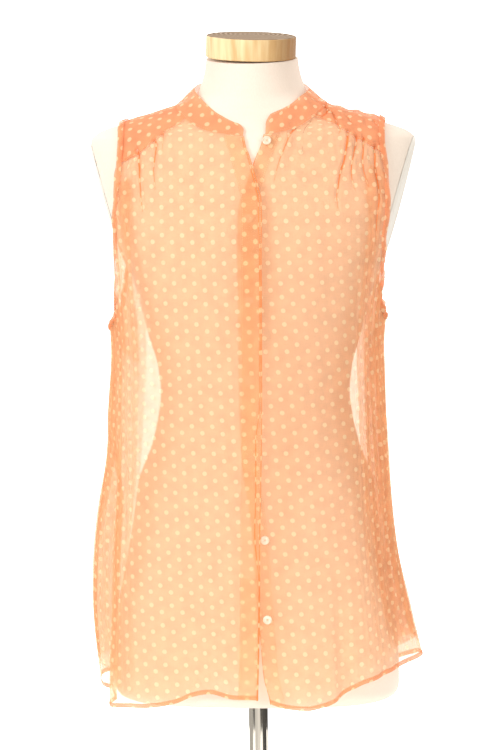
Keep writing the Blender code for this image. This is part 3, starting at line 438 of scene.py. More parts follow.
# Finer creases, which the solids leave out.
FINE_FOLDS = [
    Fold(-64.0, 655, -63.5, 600, 2.2, -1.5),
    Fold(-61.5, 658, -62.5, 560, 2.6, 1.4),
    Fold(-57.0, 668, -57.0, 610, 2.2, 1.3),
    Fold(-68.8, 648, -68.2, 590, 2.0, 1.1),
    Fold(-73.5, 645, -72.5, 570, 2.2, -1.0),
    Fold(-52.0, 680, -50.0, 640, 2.4, -1.2),
    Fold(60.0, 676, 56.0, 590, 2.6, 1.8),
    Fold(63.8, 670, 63.6, 560, 2.4, 1.8),
    Fold(67.4, 664, 69.4, 560, 2.2, 1.6),
    Fold(71.8, 658, 73.0, 560, 2.2, -1.6),
    Fold(55.8, 686, 50.0, 610, 2.4, -1.6),
    Fold(51.0, 690, 46.0, 640, 2.4, 1.4),
    Fold(27.0, 684, 12.0, 630, 4.0, -1.6),
    Fold(37.0, 688, 21.0, 600, 4.0, -1.6),
    Fold(74.0, 530, 70.0, 380, 7.0, -3.2),
    Fold(67.0, 500, 66.0, 330, 9.0, 1.8),
    Fold(79.0, 500, 78.0, 360, 6.0, 2.0),
    Fold(-30.0, 560, -26.0, 420, 14.0, -1.0),
    Fold(-48.0, 520, -46.0, 380, 12.0, 1.0),
    Fold(24.0, 500, 22.0, 330, 16.0, 1.2),
    Fold(40.0, 470, 38.0, 300, 12.0, -1.2),
    Fold(12.0, 330, 13.0, 200, 6.0, -1.0),
    Fold(-70.0, 330, -68.0, 170, 7.0, -2.0),
    Fold(-62.0, 260, -60.0, 90, 8.0, 1.6),
    Fold(50.5, 20, 47.5, 170, 5.0, 2.6),
    Fold(42.0, 15, 40.5, 150, 5.0, 2.2),
    Fold(62.0, 30, 60.0, 200, 6.0, -2.4),
    Fold(34.0, 5, 34.0, 120, 6.0, -1.4),
    Fold(-28.0, 15, -26.0, 140, 8.0, -1.4),
    Fold(145.0, 610, 146.0, 540, 3.0, 1.4),
    Fold(153.5, 611, 155.0, 520, 3.0, 1.6),
    Fold(160.5, 612, 160.5, 500, 3.0, 1.8),
    Fold(167.5, 612, 168.0, 520, 3.0, 1.6),
    Fold(175.5, 612, 176.0, 490, 3.0, 1.8),
    Fold(-175.5, 612, -175.0, 520, 3.0, 1.6),
    Fold(-167.0, 612, -167.5, 500, 3.0, 1.8),
    Fold(-159.0, 612, -159.5, 530, 3.0, 1.6),
    Fold(-151.5, 612, -151.5, 510, 3.0, 1.4),
    Fold(160.0, 330, 162.0, 160, 10.0, 2.4),
    Fold(-164.0, 350, -166.0, 180, 10.0, -2.2),
    Fold(140.0, 300, 142.0, 120, 9.0, -2.0),
    Fold(-142.0, 280, -144.0, 110, 9.0, 2.2),
]
GATHERS = GATHERS + FINE_FOLDS

# Sharp creases: places on the cloth as (angle in degrees, profile length in mm), then the half width
# and depth in mm, and the width of the tuck that closes the crease, if it has one.
Crease = namedtuple("Crease", "width depth tuck places")
CREASES = [
    Crease(3.4, 4.7, 2.6, [(74.0, 838), (66.2, 812), (54.0, 780)]),
    Crease(3.0, 3.4, 1.4, [(67.6, 809), (62.6, 779), (59.8, 752), (59.1, 737), (56.5, 723)]),
    Crease(2.8, 2.3, 0.9, [(69.8, 780), (65.9, 754)]),
    Crease(2.8, 1.8, 0, [(73.8, 762), (69.9, 742)]),
    Crease(2.8, 2.3, 0.9, [(76.6, 757), (73.5, 739)]),
    Crease(3.0, 4.4, 2.4, [(62.0, 733), (60.6, 725), (58.2, 710), (55.3, 693), (51.9, 678),
                           (48.9, 662), (46.9, 651), (45.1, 631)]),
    Crease(2.8, 3.6, 1.8, [(63.6, 724), (62.6, 716), (60.6, 705), (57.6, 688), (55.8, 670), (55.2, 657)]),
    Crease(2.8, 3.6, 1.8, [(66.0, 721), (64.9, 714), (62.7, 696), (61.6, 677), (61.3, 661)]),
    Crease(2.8, 3.9, 2.0, [(68.6, 711), (67.3, 700), (65.8, 678), (65.0, 661), (63.9, 646), (61.6, 623),
                           (60.9, 600)]),
    Crease(3.0, 3.1, 1.2, [(36.0, 742), (33.3, 732), (27.7, 712), (23.2, 698), (19.2, 681), (16.7, 668)]),
    Crease(4.0, 2.3, 0, [(25.6, 728), (20.8, 710), (16.2, 700)]),
    Crease(3.0, 3.9, 2.0, [(-63.6, 708), (-61.6, 699), (-59.8, 684), (-56.5, 664), (-54.3, 650),
                           (-51.1, 634)]),
    Crease(3.0, 3.4, 1.7, [(-58.0, 720), (-56.0, 712), (-54.9, 699), (-53.6, 685), (-49.0, 659)]),
    Crease(2.8, 2.3, 0.8, [(-56.0, 731), (-54.4, 722), (-52.2, 705)]),
    Crease(2.8, 2.1, 0, [(-66.5, 701), (-65.5, 690), (-64.0, 668)]),
    Crease(3.2, 3.4, 1.6, [(152.0, 716), (151.5, 700), (151.0, 660), (151.5, 630)]),
    Crease(3.2, 3.6, 1.8, [(158.0, 718), (157.5, 700), (158.5, 655), (159.0, 620)]),
    Crease(3.2, 3.1, 1.4, [(164.0, 719), (164.5, 700), (163.5, 665), (163.0, 640)]),
    Crease(3.2, 3.6, 1.8, [(170.5, 720), (170.0, 700), (171.0, 660), (171.5, 620)]),
    Crease(3.2, 3.4, 1.6, [(177.5, 720), (178.0, 700), (177.5, 665), (178.0, 630)]),
    Crease(3.2, 3.6, 1.8, [(-175.0, 720), (-175.5, 700), (-174.5, 650), (-175.0, 615)]),
    Crease(3.2, 3.1, 1.4, [(-168.0, 719), (-168.0, 700), (-169.0, 660), (-169.0, 640)]),
    Crease(3.2, 3.6, 1.8, [(-161.5, 718), (-161.0, 700), (-161.5, 655), (-162.5, 620)]),
    Crease(3.2, 3.1, 1.4, [(-154.5, 717), (-155.0, 700), (-154.5, 665), (-154.0, 640)]),
]

# Soft upright ripples, where the cloth turns back at the sides.
Ripple = namedtuple("Ripple", "first last low high pitch depth")
RIPPLES = [
    Ripple(-126.0, -52.0, 8, 640, 6.4, 1.5),
    Ripple(-118.0, -63.0, 100, 500, 17.0, 1.6),
    Ripple(50.0, 132.0, 30, 600, 6.8, 1.6),
    Ripple(58.0, 150.0, 60, 560, 18.0, 2.6),
    Ripple(150.0, 234.0, 30, 380, 31.0, 2.0),
]
RIPPLE_RISE = math.radians(13)
RIPPLE_RUN = 70 * MM
RIPPLE_SWAY = 2.2
RIPPLE_SWAY_LENGTH = 95 * MM

# Inner fold line of the fly: profile length and distance from the free edge, in mm.
FLY_FOLD = [(60, 0.9), (170, 0.9), (200, 0.9), (230, 3.6), (263, 5.8), (299, 5.4), (335, 6.0),
            (370, 6.4), (398, 3.4), (417, 2.2), (520, 1.6), (590, 1.6), (620, 3.4), (650, 3.2), (700, 2.0)]
FLY_END_LENGTH = 205 * MM

# Inner edges of the extra layers at the sides: profile length in mm, angle in degrees.
SIDE_FOLD_RIGHT = [(0, -61.0), (123, -61.0), (167, -61.6), (219, -59.2), (266, -57.5), (317, -55.6),
                   (364, -54.7), (410, -54.6), (459, -54.3), (506, -53.6), (543, -55.1), (590, -55.7),
                   (646, -59.5), (690, -66.0), (760, -72.0)]
SIDE_FOLD_LEFT = [(0, 73.0), (127, 71.0), (164, 69.0), (214, 66.0), (264, 63.0), (312, 60.0), (361, 58.5),
                  (408, 57.5), (457, 56.5), (504, 56.0), (539, 56.5), (587, 57.0), (646, 60.0),
                  (690, 66.0), (760, 72.0)]
SIDE_FOLD_BACK = math.radians(26)
SIDE_FOLD_LEAST = math.radians(5)
SIDE_FOLD_STEPS = 60
SIDE_FOLD_ARM_ROWS = 8
SIDE_FOLD_HEM_ROWS = 5
SIDE_FOLD_TOP_ROWS = 8
SIDE_FOLD_DROP = 1.1 * MM
# ---------------------------------------------------------------- curves and sections

def monotone_curve(knots, values):
    """Return a smooth function through the values that doesn't swing past them."""
    x = np.asarray(knots, float)
    y = np.asarray(values, float)
    run = np.diff(x)
    slope = np.diff(y) / run
    tangent = np.zeros_like(y)
    tangent[0] = slope[0]
    tangent[-1] = slope[-1]
    before, after = slope[:-1], slope[1:]
    rising = before * after > 0
    weight_a = 2 * run[1:] + run[:-1]
    weight_b = run[1:] + 2 * run[:-1]
    safe_before = np.where(rising, before, 1)
    safe_after = np.where(rising, after, 1)
    mean = (weight_a + weight_b) / (weight_a / safe_before + weight_b / safe_after)
    tangent[1:-1] = np.where(rising, mean, 0)

    def curve(at):
        at = np.clip(np.asarray(at, float), x[0], x[-1])
        k = np.clip(np.searchsorted(x, at, side="right") - 1, 0, len(x) - 2)
        step = run[k]
        t = (at - x[k]) / step
        return (y[k] * (1 + 2 * t) * (1 - t) ** 2 + tangent[k] * step * t * (1 - t) ** 2
                + y[k + 1] * t * t * (3 - 2 * t) + tangent[k + 1] * step * t * t * (t - 1))

    return curve


def section_curves(sections):
    """Turn a table of sections into one smooth function of height for each column."""
    heights = [section.height * MM for section in sections]
    curves = {}
    for column in ("left", "right", "front", "back"):
        curves[column] = monotone_curve(heights, [getattr(row, column) * MM for row in sections])
    curves["square"] = monotone_curve(heights, [row.square for row in sections])
    return curves


FORM = section_curves(FORM_SECTIONS)
CLOTH = section_curves(CLOTH_SECTIONS)


def ring_radius(curves, angle, height):
    """Distance from the axis of a rounded section, at an angle from the front."""
    sine = np.sin(angle)
    cosine = np.cos(angle)
    half_width = np.where(sine < 0, curves["left"](height), curves["right"](height))
    half_depth = np.where(cosine > 0, curves["front"](height), curves["back"](height))
    power = curves["square"](height)
    total = (np.abs(sine) / half_width) ** power + (np.abs(cosine) / half_depth) ** power
    return total ** (-1 / power)


def neck_lean_rise(y, height):
    """The neck's sections tip forward, so their backs rise and their fronts drop."""
    lean = np.clip((height - NECK_LEAN_START) / NECK_LEAN_RUN, 0, 1)
    return math.tan(NECK_LEAN) * lean * (y - CAP_CENTRE_Y)


def ring_point(curves, angle, height):
    radius = ring_radius(curves, angle, height)
    y = -radius * np.cos(angle)
    z = FORM_UNDERSIDE + height + neck_lean_rise(y, height)
    return np.stack([radius * np.sin(angle), y, z], axis=-1)


PROFILE_HEIGHTS = np.linspace(-40 * MM, 760 * MM, 3201)
_profile_width = (CLOTH["left"](PROFILE_HEIGHTS) + CLOTH["right"](PROFILE_HEIGHTS)) / 2
_profile_steps = np.hypot(np.diff(PROFILE_HEIGHTS), np.diff(_profile_width))
PROFILE_LENGTHS = np.concatenate([[0], np.cumsum(_profile_steps)])


def length_at(height):
    return np.interp(height, PROFILE_HEIGHTS, PROFILE_LENGTHS)


def height_at(length):
    return np.interp(length, PROFILE_LENGTHS, PROFILE_HEIGHTS)


def side_angle(out, height, back=False):
    """Angle of the point of the drape surface that lies a distance out from the middle."""
    half_width = np.where(out < 0, CLOTH["left"](height), CLOTH["right"](height))
    depth = CLOTH["back"](height) if back else CLOTH["front"](height)
    power = CLOTH["square"](height)
    share = np.clip(np.abs(out) / half_width, 0, 1)
    y = depth * (1 - share ** power) ** (1 / power)
    angle = np.arctan2(np.abs(out), y)
    if back:
        angle = math.pi - angle
    return np.where(out < 0, -angle, angle)


# ---------------------------------------------------------------- folds

def smooth_step(value):
    t = np.clip(value, 0, 1)
    return t * t * (3 - 2 * t)


def turn_difference(angle, centre):
    return (angle - centre + math.pi) % (2 * math.pi) - math.pi


def fold_lift(folds, angle, height, radius):
    """Sum of soft troughs and ridges, each along its own line on the drape surface."""
    total = np.zeros_like(angle)
    for fold in folds:
        start = fold.height * MM
        end = fold.end_height * MM
        t = (height - start) / (end - start)
        share = np.clip(t, 0, 1)
        turn = math.radians(fold.end_angle - fold.angle)
        centre = math.radians(fold.angle) + share * turn
        across = turn_difference(angle, centre) * radius / (fold.spread * MM)
        fade = np.cos(share * math.pi / 2) ** 2
        total += fold.depth * MM * np.exp(-across ** 2) * fade
    return total


def seam_curve(side):
    rows = [row for row in YOKE_FRONT_SEAM if row.side == side]
    heights = np.array([row.height * MM for row in rows])
    outs = np.array([row.side * row.out * MM for row in rows])
    return side_angle(outs, heights), heights


SEAM_LEFT = seam_curve(-1)
SEAM_RIGHT = seam_curve(1)
neck_height = monotone_curve([math.radians(row.angle) for row in NECK_SEAM],
                             [row.height * MM for row in NECK_SEAM])
hem_height = monotone_curve([math.radians(row.angle) for row in HEM],
                            [row.height * MM for row in HEM])


def yoke_back_height(angle):
    turn = np.clip((math.pi - np.abs(angle)) / YOKE_BACK_TURN, 0, 1)
    rise = (YOKE_BACK_CORNER - YOKE_BACK_CENTRE) * MM
    return YOKE_BACK_CENTRE * MM + rise * turn ** 2


def panel_top(angle):
    """Height of the seam that closes the front or back panel at its upper edge."""
    left = np.interp(-angle, -SEAM_LEFT[0], SEAM_LEFT[1])
    right = np.interp(angle, SEAM_RIGHT[0], SEAM_RIGHT[1])
    front = np.where(angle < 0, left, right)
    join = np.where(angle < 0, -SEAM_LEFT[0][0], SEAM_RIGHT[0][0])
    front = np.where(np.abs(angle) < join, neck_height(np.abs(angle)), front)
    return np.where(np.abs(angle) > math.radians(90), yoke_back_height(angle), front)


def gather_zone(angle):
    """1 where the cloth is gathered into the yoke, 0 where it is flat."""
    turn = np.degrees(np.abs(angle))
    share = np.zeros_like(turn)
    for zone in GATHER_ZONES:
        opened = smooth_step((turn - zone.first) / zone.rise)
        closed = smooth_step((zone.last - turn) / zone.fall)
        share = share + opened * closed
    return share


def cloth_lift(angle, height, radius, position):
    below = panel_top(angle) - height
    pin = smooth_step(below / SEAM_PIN)
    fade = 1 - smooth_step((below - SEAM_PIN) / GATHER_PUFF_DROP)
    puff = GATHER_PUFF * gather_zone(angle) * fade
    lift = pin * (puff + fold_lift(GATHERS, angle, height, radius))
    free = smooth_step(below / HANG_RUN)
    lift = lift + free * fold_lift(HANGING_FOLDS, angle, height, radius)
    for puff in SHOULDER_PUFFS:
        across = (position[..., 0] - puff.out * MM) / (puff.spread_out * MM)
        along = (position[..., 1] - puff.depth * MM) / (puff.spread_depth * MM)
        high = smooth_step((height - PUFF_FROM) / PUFF_RUN)
        lift = lift + puff.lift * MM * np.exp(-across ** 2 - along ** 2) * high
    return np.where(height > SHOULDER_FROM, np.maximum(lift, 0), lift)


# ---------------------------------------------------------------- the drape surface

PROBE_TURN = math.radians(0.25)
PROBE_RISE = 0.5 * MM
LEAN_PASSES = 4


def base_frame(angle, length):
    """Base point, unit normal and the two tangents of the drape surface."""
    def place(turn, reach):
        return ring_point(CLOTH, turn, height_at(reach))

    point = place(angle, length)
    round_way = (place(angle + PROBE_TURN, length) - place(angle - PROBE_TURN, length))
    up_way = (place(angle, length + PROBE_RISE) - place(angle, length - PROBE_RISE))
    round_way = round_way / (2 * PROBE_TURN)
    up_way = up_way / (2 * PROBE_RISE)
    normal = np.cross(round_way, up_way)
    normal /= np.linalg.norm(normal, axis=-1, keepdims=True)
    return point, normal, round_way, up_way


def clear_of_form(points, clearance=FORM_CLEARANCE, ceiling=SHOULDER_FROM):
    """Push points below a height out from the axis until they stand clear of the form."""
    x, y, z = points[..., 0], points[..., 1], points[..., 2]
    height = z - FORM_UNDERSIDE
    for _ in range(LEAN_PASSES):
        height = z - FORM_UNDERSIDE - neck_lean_rise(y, height)
    radius = np.hypot(x, y)
    level = np.maximum(height, FORM_EDGE_TOP)
    least = ring_radius(FORM, np.arctan2(x, -y), level) + clearance
    below = height < ceiling
    scale = np.where(below, np.maximum(least / radius, 1), 1)
    return np.stack([x * scale, y * scale, z], axis=-1)


def rest_gap(position, height):
    """The cloth lies on the tops of the shoulders and stands a little looser elsewhere."""
    on_top = np.exp(-(position[..., 1] / SHOULDER_REST_DEPTH) ** 2)
    on_top = on_top * smooth_step((height - SHOULDER_REST_FROM) / SHOULDER_REST_RUN)
    return LOOSE_GAP + (REST_GAP - LOOSE_GAP) * on_top


def flap_lift(position, height):
    """How far the overlapping front stands off the one below it, near the middle."""
    across = smooth_step((position[..., 0] - FLAP_LIFT_FROM) / FLAP_LIFT_RUN)
    down = 1 - smooth_step((height - FLAP_FADE_FROM) / FLAP_FADE_RUN)
    return FLAP_LIFT * across * down


def crease_places(crease):
    angle = np.radians([place[0] for place in crease.places])
    length = np.array([place[1] for place in crease.places]) * MM
    return angle, length


def crease_lift(angle, length, round_way):
    """Narrow troughs with a soft ridge on each side, deepest at the start of each crease."""
    total = np.zeros_like(angle)
    for crease in CREASES:
        turns, lengths = crease_places(crease)
        width = crease.width * MM
        near = np.full_like(angle, 1.0)
        along = np.zeros_like(angle)
        for k in range(len(turns) - 1):
            px = turn_difference(angle, turns[k]) * round_way
            py = length - lengths[k]
            sx = (turns[k + 1] - turns[k]) * round_way
            sy = lengths[k + 1] - lengths[k]
            t = np.clip((px * sx + py * sy) / (sx * sx + sy * sy), 0, 1)
            reach = np.hypot(px - t * sx, py - t * sy)
            closer = reach < near
            near = np.where(closer, reach, near)
            along = np.where(closer, (k + t) / (len(turns) - 1), along)
        across = (near / width) ** 2
        profile = (1 - across) * np.exp(-across)
        total -= crease.depth * MM * profile * (1 - along) ** 0.6
    return total


def ripple_lift(angle, height):
    """Rows of uneven upright ripples between two angles."""
    total = np.zeros_like(angle)
    for ripple in RIPPLES:
        first, last = math.radians(ripple.first), math.radians(ripple.last)
        middle, half = (first + last) / 2, (last - first) / 2
        turn = turn_difference(angle, middle)
        inside = smooth_step((half - np.abs(turn)) / RIPPLE_RISE)
        rise = smooth_step((height - ripple.low * MM) / RIPPLE_RUN)
        fall = smooth_step((ripple.high * MM - height) / RIPPLE_RUN)
        arc = turn * SIDE_SEAM_RADIUS / (ripple.pitch * MM) * 2 * math.pi
        sway = RIPPLE_SWAY * np.sin(height / RIPPLE_SWAY_LENGTH + 3 * turn)
        uneven = 0.65 + 0.35 * np.sin(arc * 0.31 + height / (60 * MM))
        total += ripple.depth * MM * np.sin(arc + sway) * uneven * inside * rise * fall
    return total


def cloth_points(angle, length, out=0.0, flap=False):
    """Points of the cloth's inner face, moved out by a distance."""
    angle = np.asarray(angle, float)
    length = np.asarray(length, float)
    height = height_at(length)
    base, normal, round_way, _ = base_frame(angle, length)
    radius = np.hypot(base[..., 0], base[..., 1])
    lift = rest_gap(base, height) + cloth_lift(angle, height, radius, base)
    lift = lift + crease_lift(angle, length, np.linalg.norm(round_way, axis=-1))
    lift = lift + ripple_lift(angle, height)
    if flap:
        lift = lift + flap_lift(base, height)
    inner = clear_of_form(base + normal * lift[..., None])
    return inner + normal * out


def step_on_surface(angle, length, direction, distance):
    """Move along the surface in a 3D direction and return the new angle and length."""
    _, _, round_way, up_way = base_frame(angle, length)
    move = direction * distance
    a = np.sum(round_way * round_way, axis=-1)
    b = np.sum(round_way * up_way, axis=-1)
    c = np.sum(up_way * up_way, axis=-1)
    d = np.sum(round_way * move, axis=-1)
    e = np.sum(up_way * move, axis=-1)
    scale = a * c - b * b
    return angle + (d * c - e * b) / scale, length + (a * e - b * d) / scale


def resample(points, count):
    """Spread a number of steps evenly along a curve of angle and length."""
    angle, length = points
    place = cloth_points(angle, length)
    run = np.concatenate([[0], np.cumsum(np.linalg.norm(np.diff(place, axis=0), axis=1))])
    even = np.linspace(0, run[-1], count + 1)
    return np.interp(even, run, angle), np.interp(even, run, length)


def joined(*curves):
    """Join curves end to end, dropping each repeated point."""
    angles = [curves[0][0]] + [curve[0][1:] for curve in curves[1:]]
    lengths = [curves[0][1]] + [curve[1][1:] for curve in curves[1:]]
    return np.concatenate(angles), np.concatenate(lengths)


def blend_patch(bottom, top, left, right):
    """Fill four boundary curves of angle and length with a grid, rows from bottom to top."""
    columns = np.linspace(0, 1, len(bottom[0]))[None, :]
    rows = np.linspace(0, 1, len(left[0]))[:, None]
    grids = []
    for low, high, near, far in zip(bottom, top, left, right):
        sides = (1 - columns) * near[:, None] + columns * far[:, None]
        ends = (1 - rows) * low[None, :] + rows * high[None, :]
        corners = ((1 - columns) * (1 - rows) * low[0] + columns * (1 - rows) * low[-1]
                   + (1 - columns) * rows * high[0] + columns * rows * high[-1])
        grids.append(sides + ends - corners)
    return grids


# ---------------------------------------------------------------- edges of the pieces

def armhole_edge(side, back=False, first=None, last=SHOULDER_POINT):
    """Armhole edge from the underarm, or a height, up to a height."""
    table = BACK_ARMHOLE if back else FRONT_ARMHOLE
    underarm = (UNDERARM_LEFT if side < 0 else UNDERARM_RIGHT) * MM
    heights = [row.height * MM for row in table]
    outs = [(row.left if side < 0 else row.right) * side * MM for row in table]
    out = monotone_curve(heights, outs)
    if first is None:
        # a quarter ellipse closes the lower end of the armhole at the side seam
        t = np.linspace(0, math.pi / 2, DENSE)
        side_turn = side * math.pi / 2
        low_turn = side_angle(out(heights[0]), heights[0], back)
        low_angle = side_turn + (low_turn - side_turn) * np.sin(t)
        low_height = heights[0] - (heights[0] - underarm) * np.cos(t)
        ease = np.sin(np.linspace(0, math.pi / 2, DENSE))
        high_height = heights[0] + (last * MM - heights[0]) * ease
        high_angle = side_angle(out(high_height), high_height, back)
        angle = np.concatenate([low_angle, high_angle[1:]])
        return angle, length_at(np.concatenate([low_height, high_height[1:]]))
    ease = np.sin(np.linspace(0, math.pi / 2, DENSE))
    height = (first + (last - first) * ease) * MM
    return side_angle(out(height), height, back), length_at(height)


def side_seam(side, shift):
    """Side seam from the hem up to the underarm, moved round by a small distance."""
    underarm = (UNDERARM_LEFT if side < 0 else UNDERARM_RIGHT) * MM
    t = np.linspace(0, 1, DENSE)
    low_turn = SIDE_SEAM_HEM_RIGHT if side < 0 else SIDE_SEAM_HEM_LEFT
    angle = side * (low_turn + (math.pi / 2 - low_turn) * t)
    height = hem_height(angle[0]) + (underarm - hem_height(angle[0])) * t
    return angle + side * shift / SIDE_SEAM_RADIUS, length_at(height)


def hem_edge(first, last):
    angle = np.linspace(first, last, DENSE)
    return angle, length_at(hem_height(angle))


def closure_edge(flap, inset=0.0):
    """Centre front edge of a front panel, from the hem up to the neck seam."""
    heights = [row.height * MM for row in CLOSURE_EDGES]
    outs = [(row.flap if flap else row.stand) * MM for row in CLOSURE_EDGES]
    place = monotone_curve(heights, outs)
    low_angle = side_angle(place(CLOSURE_LOW) + inset, CLOSURE_LOW)
    high_angle = side_angle(place(CLOSURE_HIGH) + inset, CLOSURE_HIGH)
    low = hem_height(low_angle)
    high = neck_height(np.abs(high_angle)) - SEAM_HALF_GAP
    height = np.linspace(low, high, DENSE)
    return side_angle(place(height) + inset, height), length_at(height)


def yoke_seam(side, shift):
    """Front yoke seam from the neck seam out to the armhole, moved up by a small distance."""
    angles, heights = SEAM_LEFT if side < 0 else SEAM_RIGHT
    t = np.linspace(0, 1, DENSE)
    along = np.linspace(0, 1, len(angles))
    angle = monotone_curve(along, angles)(t)
    height = monotone_curve(along, heights)(t)
    return angle, length_at(height) + shift


def neck_edge(first, last, shift):
    angle = np.linspace(first, last, DENSE)
    return angle, length_at(neck_height(np.abs(turn_difference(angle, 0)))) + shift


def shorten_end(curve, start=0.0, end=0.0):
    """Cut a distance off the ends of a curve."""
    angle, length = curve
    place = cloth_points(angle, length)
    run = np.concatenate([[0], np.cumsum(np.linalg.norm(np.diff(place, axis=0), axis=1))])
    even = np.linspace(start, run[-1] - end, len(angle))
    return np.interp(even, run, angle), np.interp(even, run, length)


# ---------------------------------------------------------------- materials

class Graph:
    """Short calls for the nodes of one material."""

    def __init__(self, name):
        self.material = bpy.data.materials.new(name)
        self.material.use_nodes = True
        self.tree = self.material.node_tree
        self.shader = self.tree.nodes["Principled BSDF"]
        self.output = self.tree.nodes["Material Output"]

    def link(self, source, target):
        self.tree.links.new(source, target)

    def node(self, kind, **values):
        made = self.tree.nodes.new(kind)
        for key, value in values.items():
            setattr(made, key, value)
        return made

    def math(self, operation, a, b=None, clamp=False):
        made = self.node("ShaderNodeMath", operation=operation, use_clamp=clamp)
        for socket, value in zip(made.inputs, (a, b)):
            if value is None:
                continue
            if isinstance(value, (int, float)):
                socket.default_value = value
            else:
                self.link(value, socket)
        return made.outputs[0]

    def ramp(self, value, low, high, start=0.0, end=1.0):
        made = self.node("ShaderNodeMapRange", interpolation_type="SMOOTHSTEP")
        self.link(value, made.inputs["Value"])
        made.inputs["From Min"].default_value = low
        made.inputs["From Max"].default_value = high
        made.inputs["To Min"].default_value = start
        made.inputs["To Max"].default_value = end
        return made.outputs["Result"]

    def noise(self, vector, scale, detail=2.0, stretch=None):
        if stretch:
            mapping = self.node("ShaderNodeMapping")
            mapping.inputs["Scale"].default_value = stretch
            self.link(vector, mapping.inputs["Vector"])
            vector = mapping.outputs["Vector"]
        made = self.node("ShaderNodeTexNoise")
        made.inputs["Scale"].default_value = scale
        made.inputs["Detail"].default_value = detail
        self.link(vector, made.inputs["Vector"])
        return made.outputs["Fac"]

    def mix(self, factor, first, second):
        made = self.node("ShaderNodeMix", data_type="RGBA")
        for socket, value in ((made.inputs[0], factor), (made.inputs[6], first),
                              (made.inputs[7], second)):
            if isinstance(value, tuple):
                socket.default_value = (*value, 1)
            elif isinstance(value, (int, float)):
                socket.default_value = value
            else:
                self.link(value, socket)
        return made.outputs[2]

    def bump(self, height, strength, distance):
        made = self.node("ShaderNodeBump")
        made.inputs["Strength"].default_value = strength
        made.inputs["Distance"].default_value = distance
        self.link(height, made.inputs["Height"])
        self.link(made.outputs["Normal"], self.shader.inputs["Normal"])
        return made.outputs["Normal"]

    def position(self):
        return self.node("ShaderNodeTexCoord").outputs["Object"]


def chiffon(name, layers, shear=0.0, base=None):
    """Sheer crepe with woven dots; layers thicken it where the cloth is doubled."""
    g = Graph(name)
    uv = g.node("ShaderNodeUVMap", uv_map="UVMap").outputs["UV"]
    split = g.node("ShaderNodeSeparateXYZ")
    g.link(uv, split.inputs[0])
    across, along = split.outputs[0], split.outputs[1]
    leaning = g.math("ADD", across, g.math("MULTIPLY", along, shear))
    column = g.math("DIVIDE", leaning, DOT_COLUMN)
    nearest = g.math("ROUND", column)
    off_across = g.math("MULTIPLY", g.math("SUBTRACT", column, nearest), DOT_COLUMN)
    odd = g.math("MODULO", g.math("ABSOLUTE", nearest), 2.0)
    row = g.math("ADD", g.math("DIVIDE", along, DOT_PITCH), g.math("MULTIPLY", odd, 0.5))
    off_along = g.math("MULTIPLY", g.math("SUBTRACT", row, g.math("ROUND", row)), DOT_PITCH)
    reach = g.math("SQRT", g.math("ADD", g.math("MULTIPLY", off_across, off_across),
                                  g.math("MULTIPLY", off_along, off_along)))
    fuzz = g.math("MULTIPLY", g.math("SUBTRACT", g.noise(uv, 1400.0, 1.0), 0.5), DOT_FUZZ)
    dot = g.ramp(g.math("ADD", reach, fuzz), DOT_RADIUS - DOT_EDGE, DOT_RADIUS + DOT_EDGE, 1.0, 0.0)
    crepe = g.noise(uv, 900.0, 3.0)
    mottle = g.noise(uv, 60.0, 3.0)
    weft = g.noise(uv, 1000.0, 2.0, stretch=(0.12, 1.0, 1.0))
    warp = g.noise(uv, 1000.0, 2.0, stretch=(1.0, 0.12, 1.0))
    weave = g.math("ADD", g.math("MULTIPLY", weft, 0.5), g.math("MULTIPLY", warp, 0.5))
    base = base or (CLOTH_DOUBLE_COLOUR if layers > 1 else CLOTH_COLOUR)
    pale = tuple(min(1.0, c * 1.06) for c in base)
    deep = tuple(c * 0.88 for c in base)
    ground = g.mix(g.ramp(mottle, 0.3, 0.7), deep, pale)
    strength = 1.0 if layers <= 1 else DOUBLE_DOT_SHARE
    colour = g.mix(g.math("MULTIPLY", dot, strength), ground, DOT_COLOUR)
    g.link(colour, g.shader.inputs["Base Color"])
    g.shader.inputs["Roughness"].default_value = 0.75
    g.shader.inputs["Sheen Weight"].default_value = 0.12
    g.shader.inputs["Sheen Roughness"].default_value = 0.4
    g.shader.inputs["Specular IOR Level"].default_value = 0.15
    height = g.math("ADD", g.math("MULTIPLY", crepe, 0.6), weave)
    normal = g.bump(height, 0.5, 0.25 * MM)
    opaque = 1 - (1 - CLOTH_COVER) ** layers
    dot_opaque = 1 - (1 - DOT_COVER) ** layers
    cover = g.ramp(weave, 0.25, 0.75, opaque - 0.05, opaque + 0.05)
    alpha = g.math("ADD", cover, g.math("MULTIPLY", dot, dot_opaque - opaque))
    glow = g.node("ShaderNodeBsdfTranslucent")
    g.link(colour, glow.inputs["Color"])
    g.link(normal, glow.inputs["Normal"])
    solid = g.node("ShaderNodeMixShader")
    solid.inputs["Fac"].default_value = TRANSLUCENT_SHARE
    g.link(g.shader.outputs[0], solid.inputs[1])
    g.link(glow.outputs[0], solid.inputs[2])
    clear = g.node("ShaderNodeBsdfTransparent")
    clear.inputs["Color"].default_value = (*CLEAR_TINT, 1)
    whole = g.node("ShaderNodeMixShader")
    g.link(alpha, whole.inputs["Fac"])
    g.link(clear.outputs[0], whole.inputs[1])
    g.link(solid.outputs[0], whole.inputs[2])
    g.link(whole.outputs[0], g.output.inputs["Surface"])
    return g.material


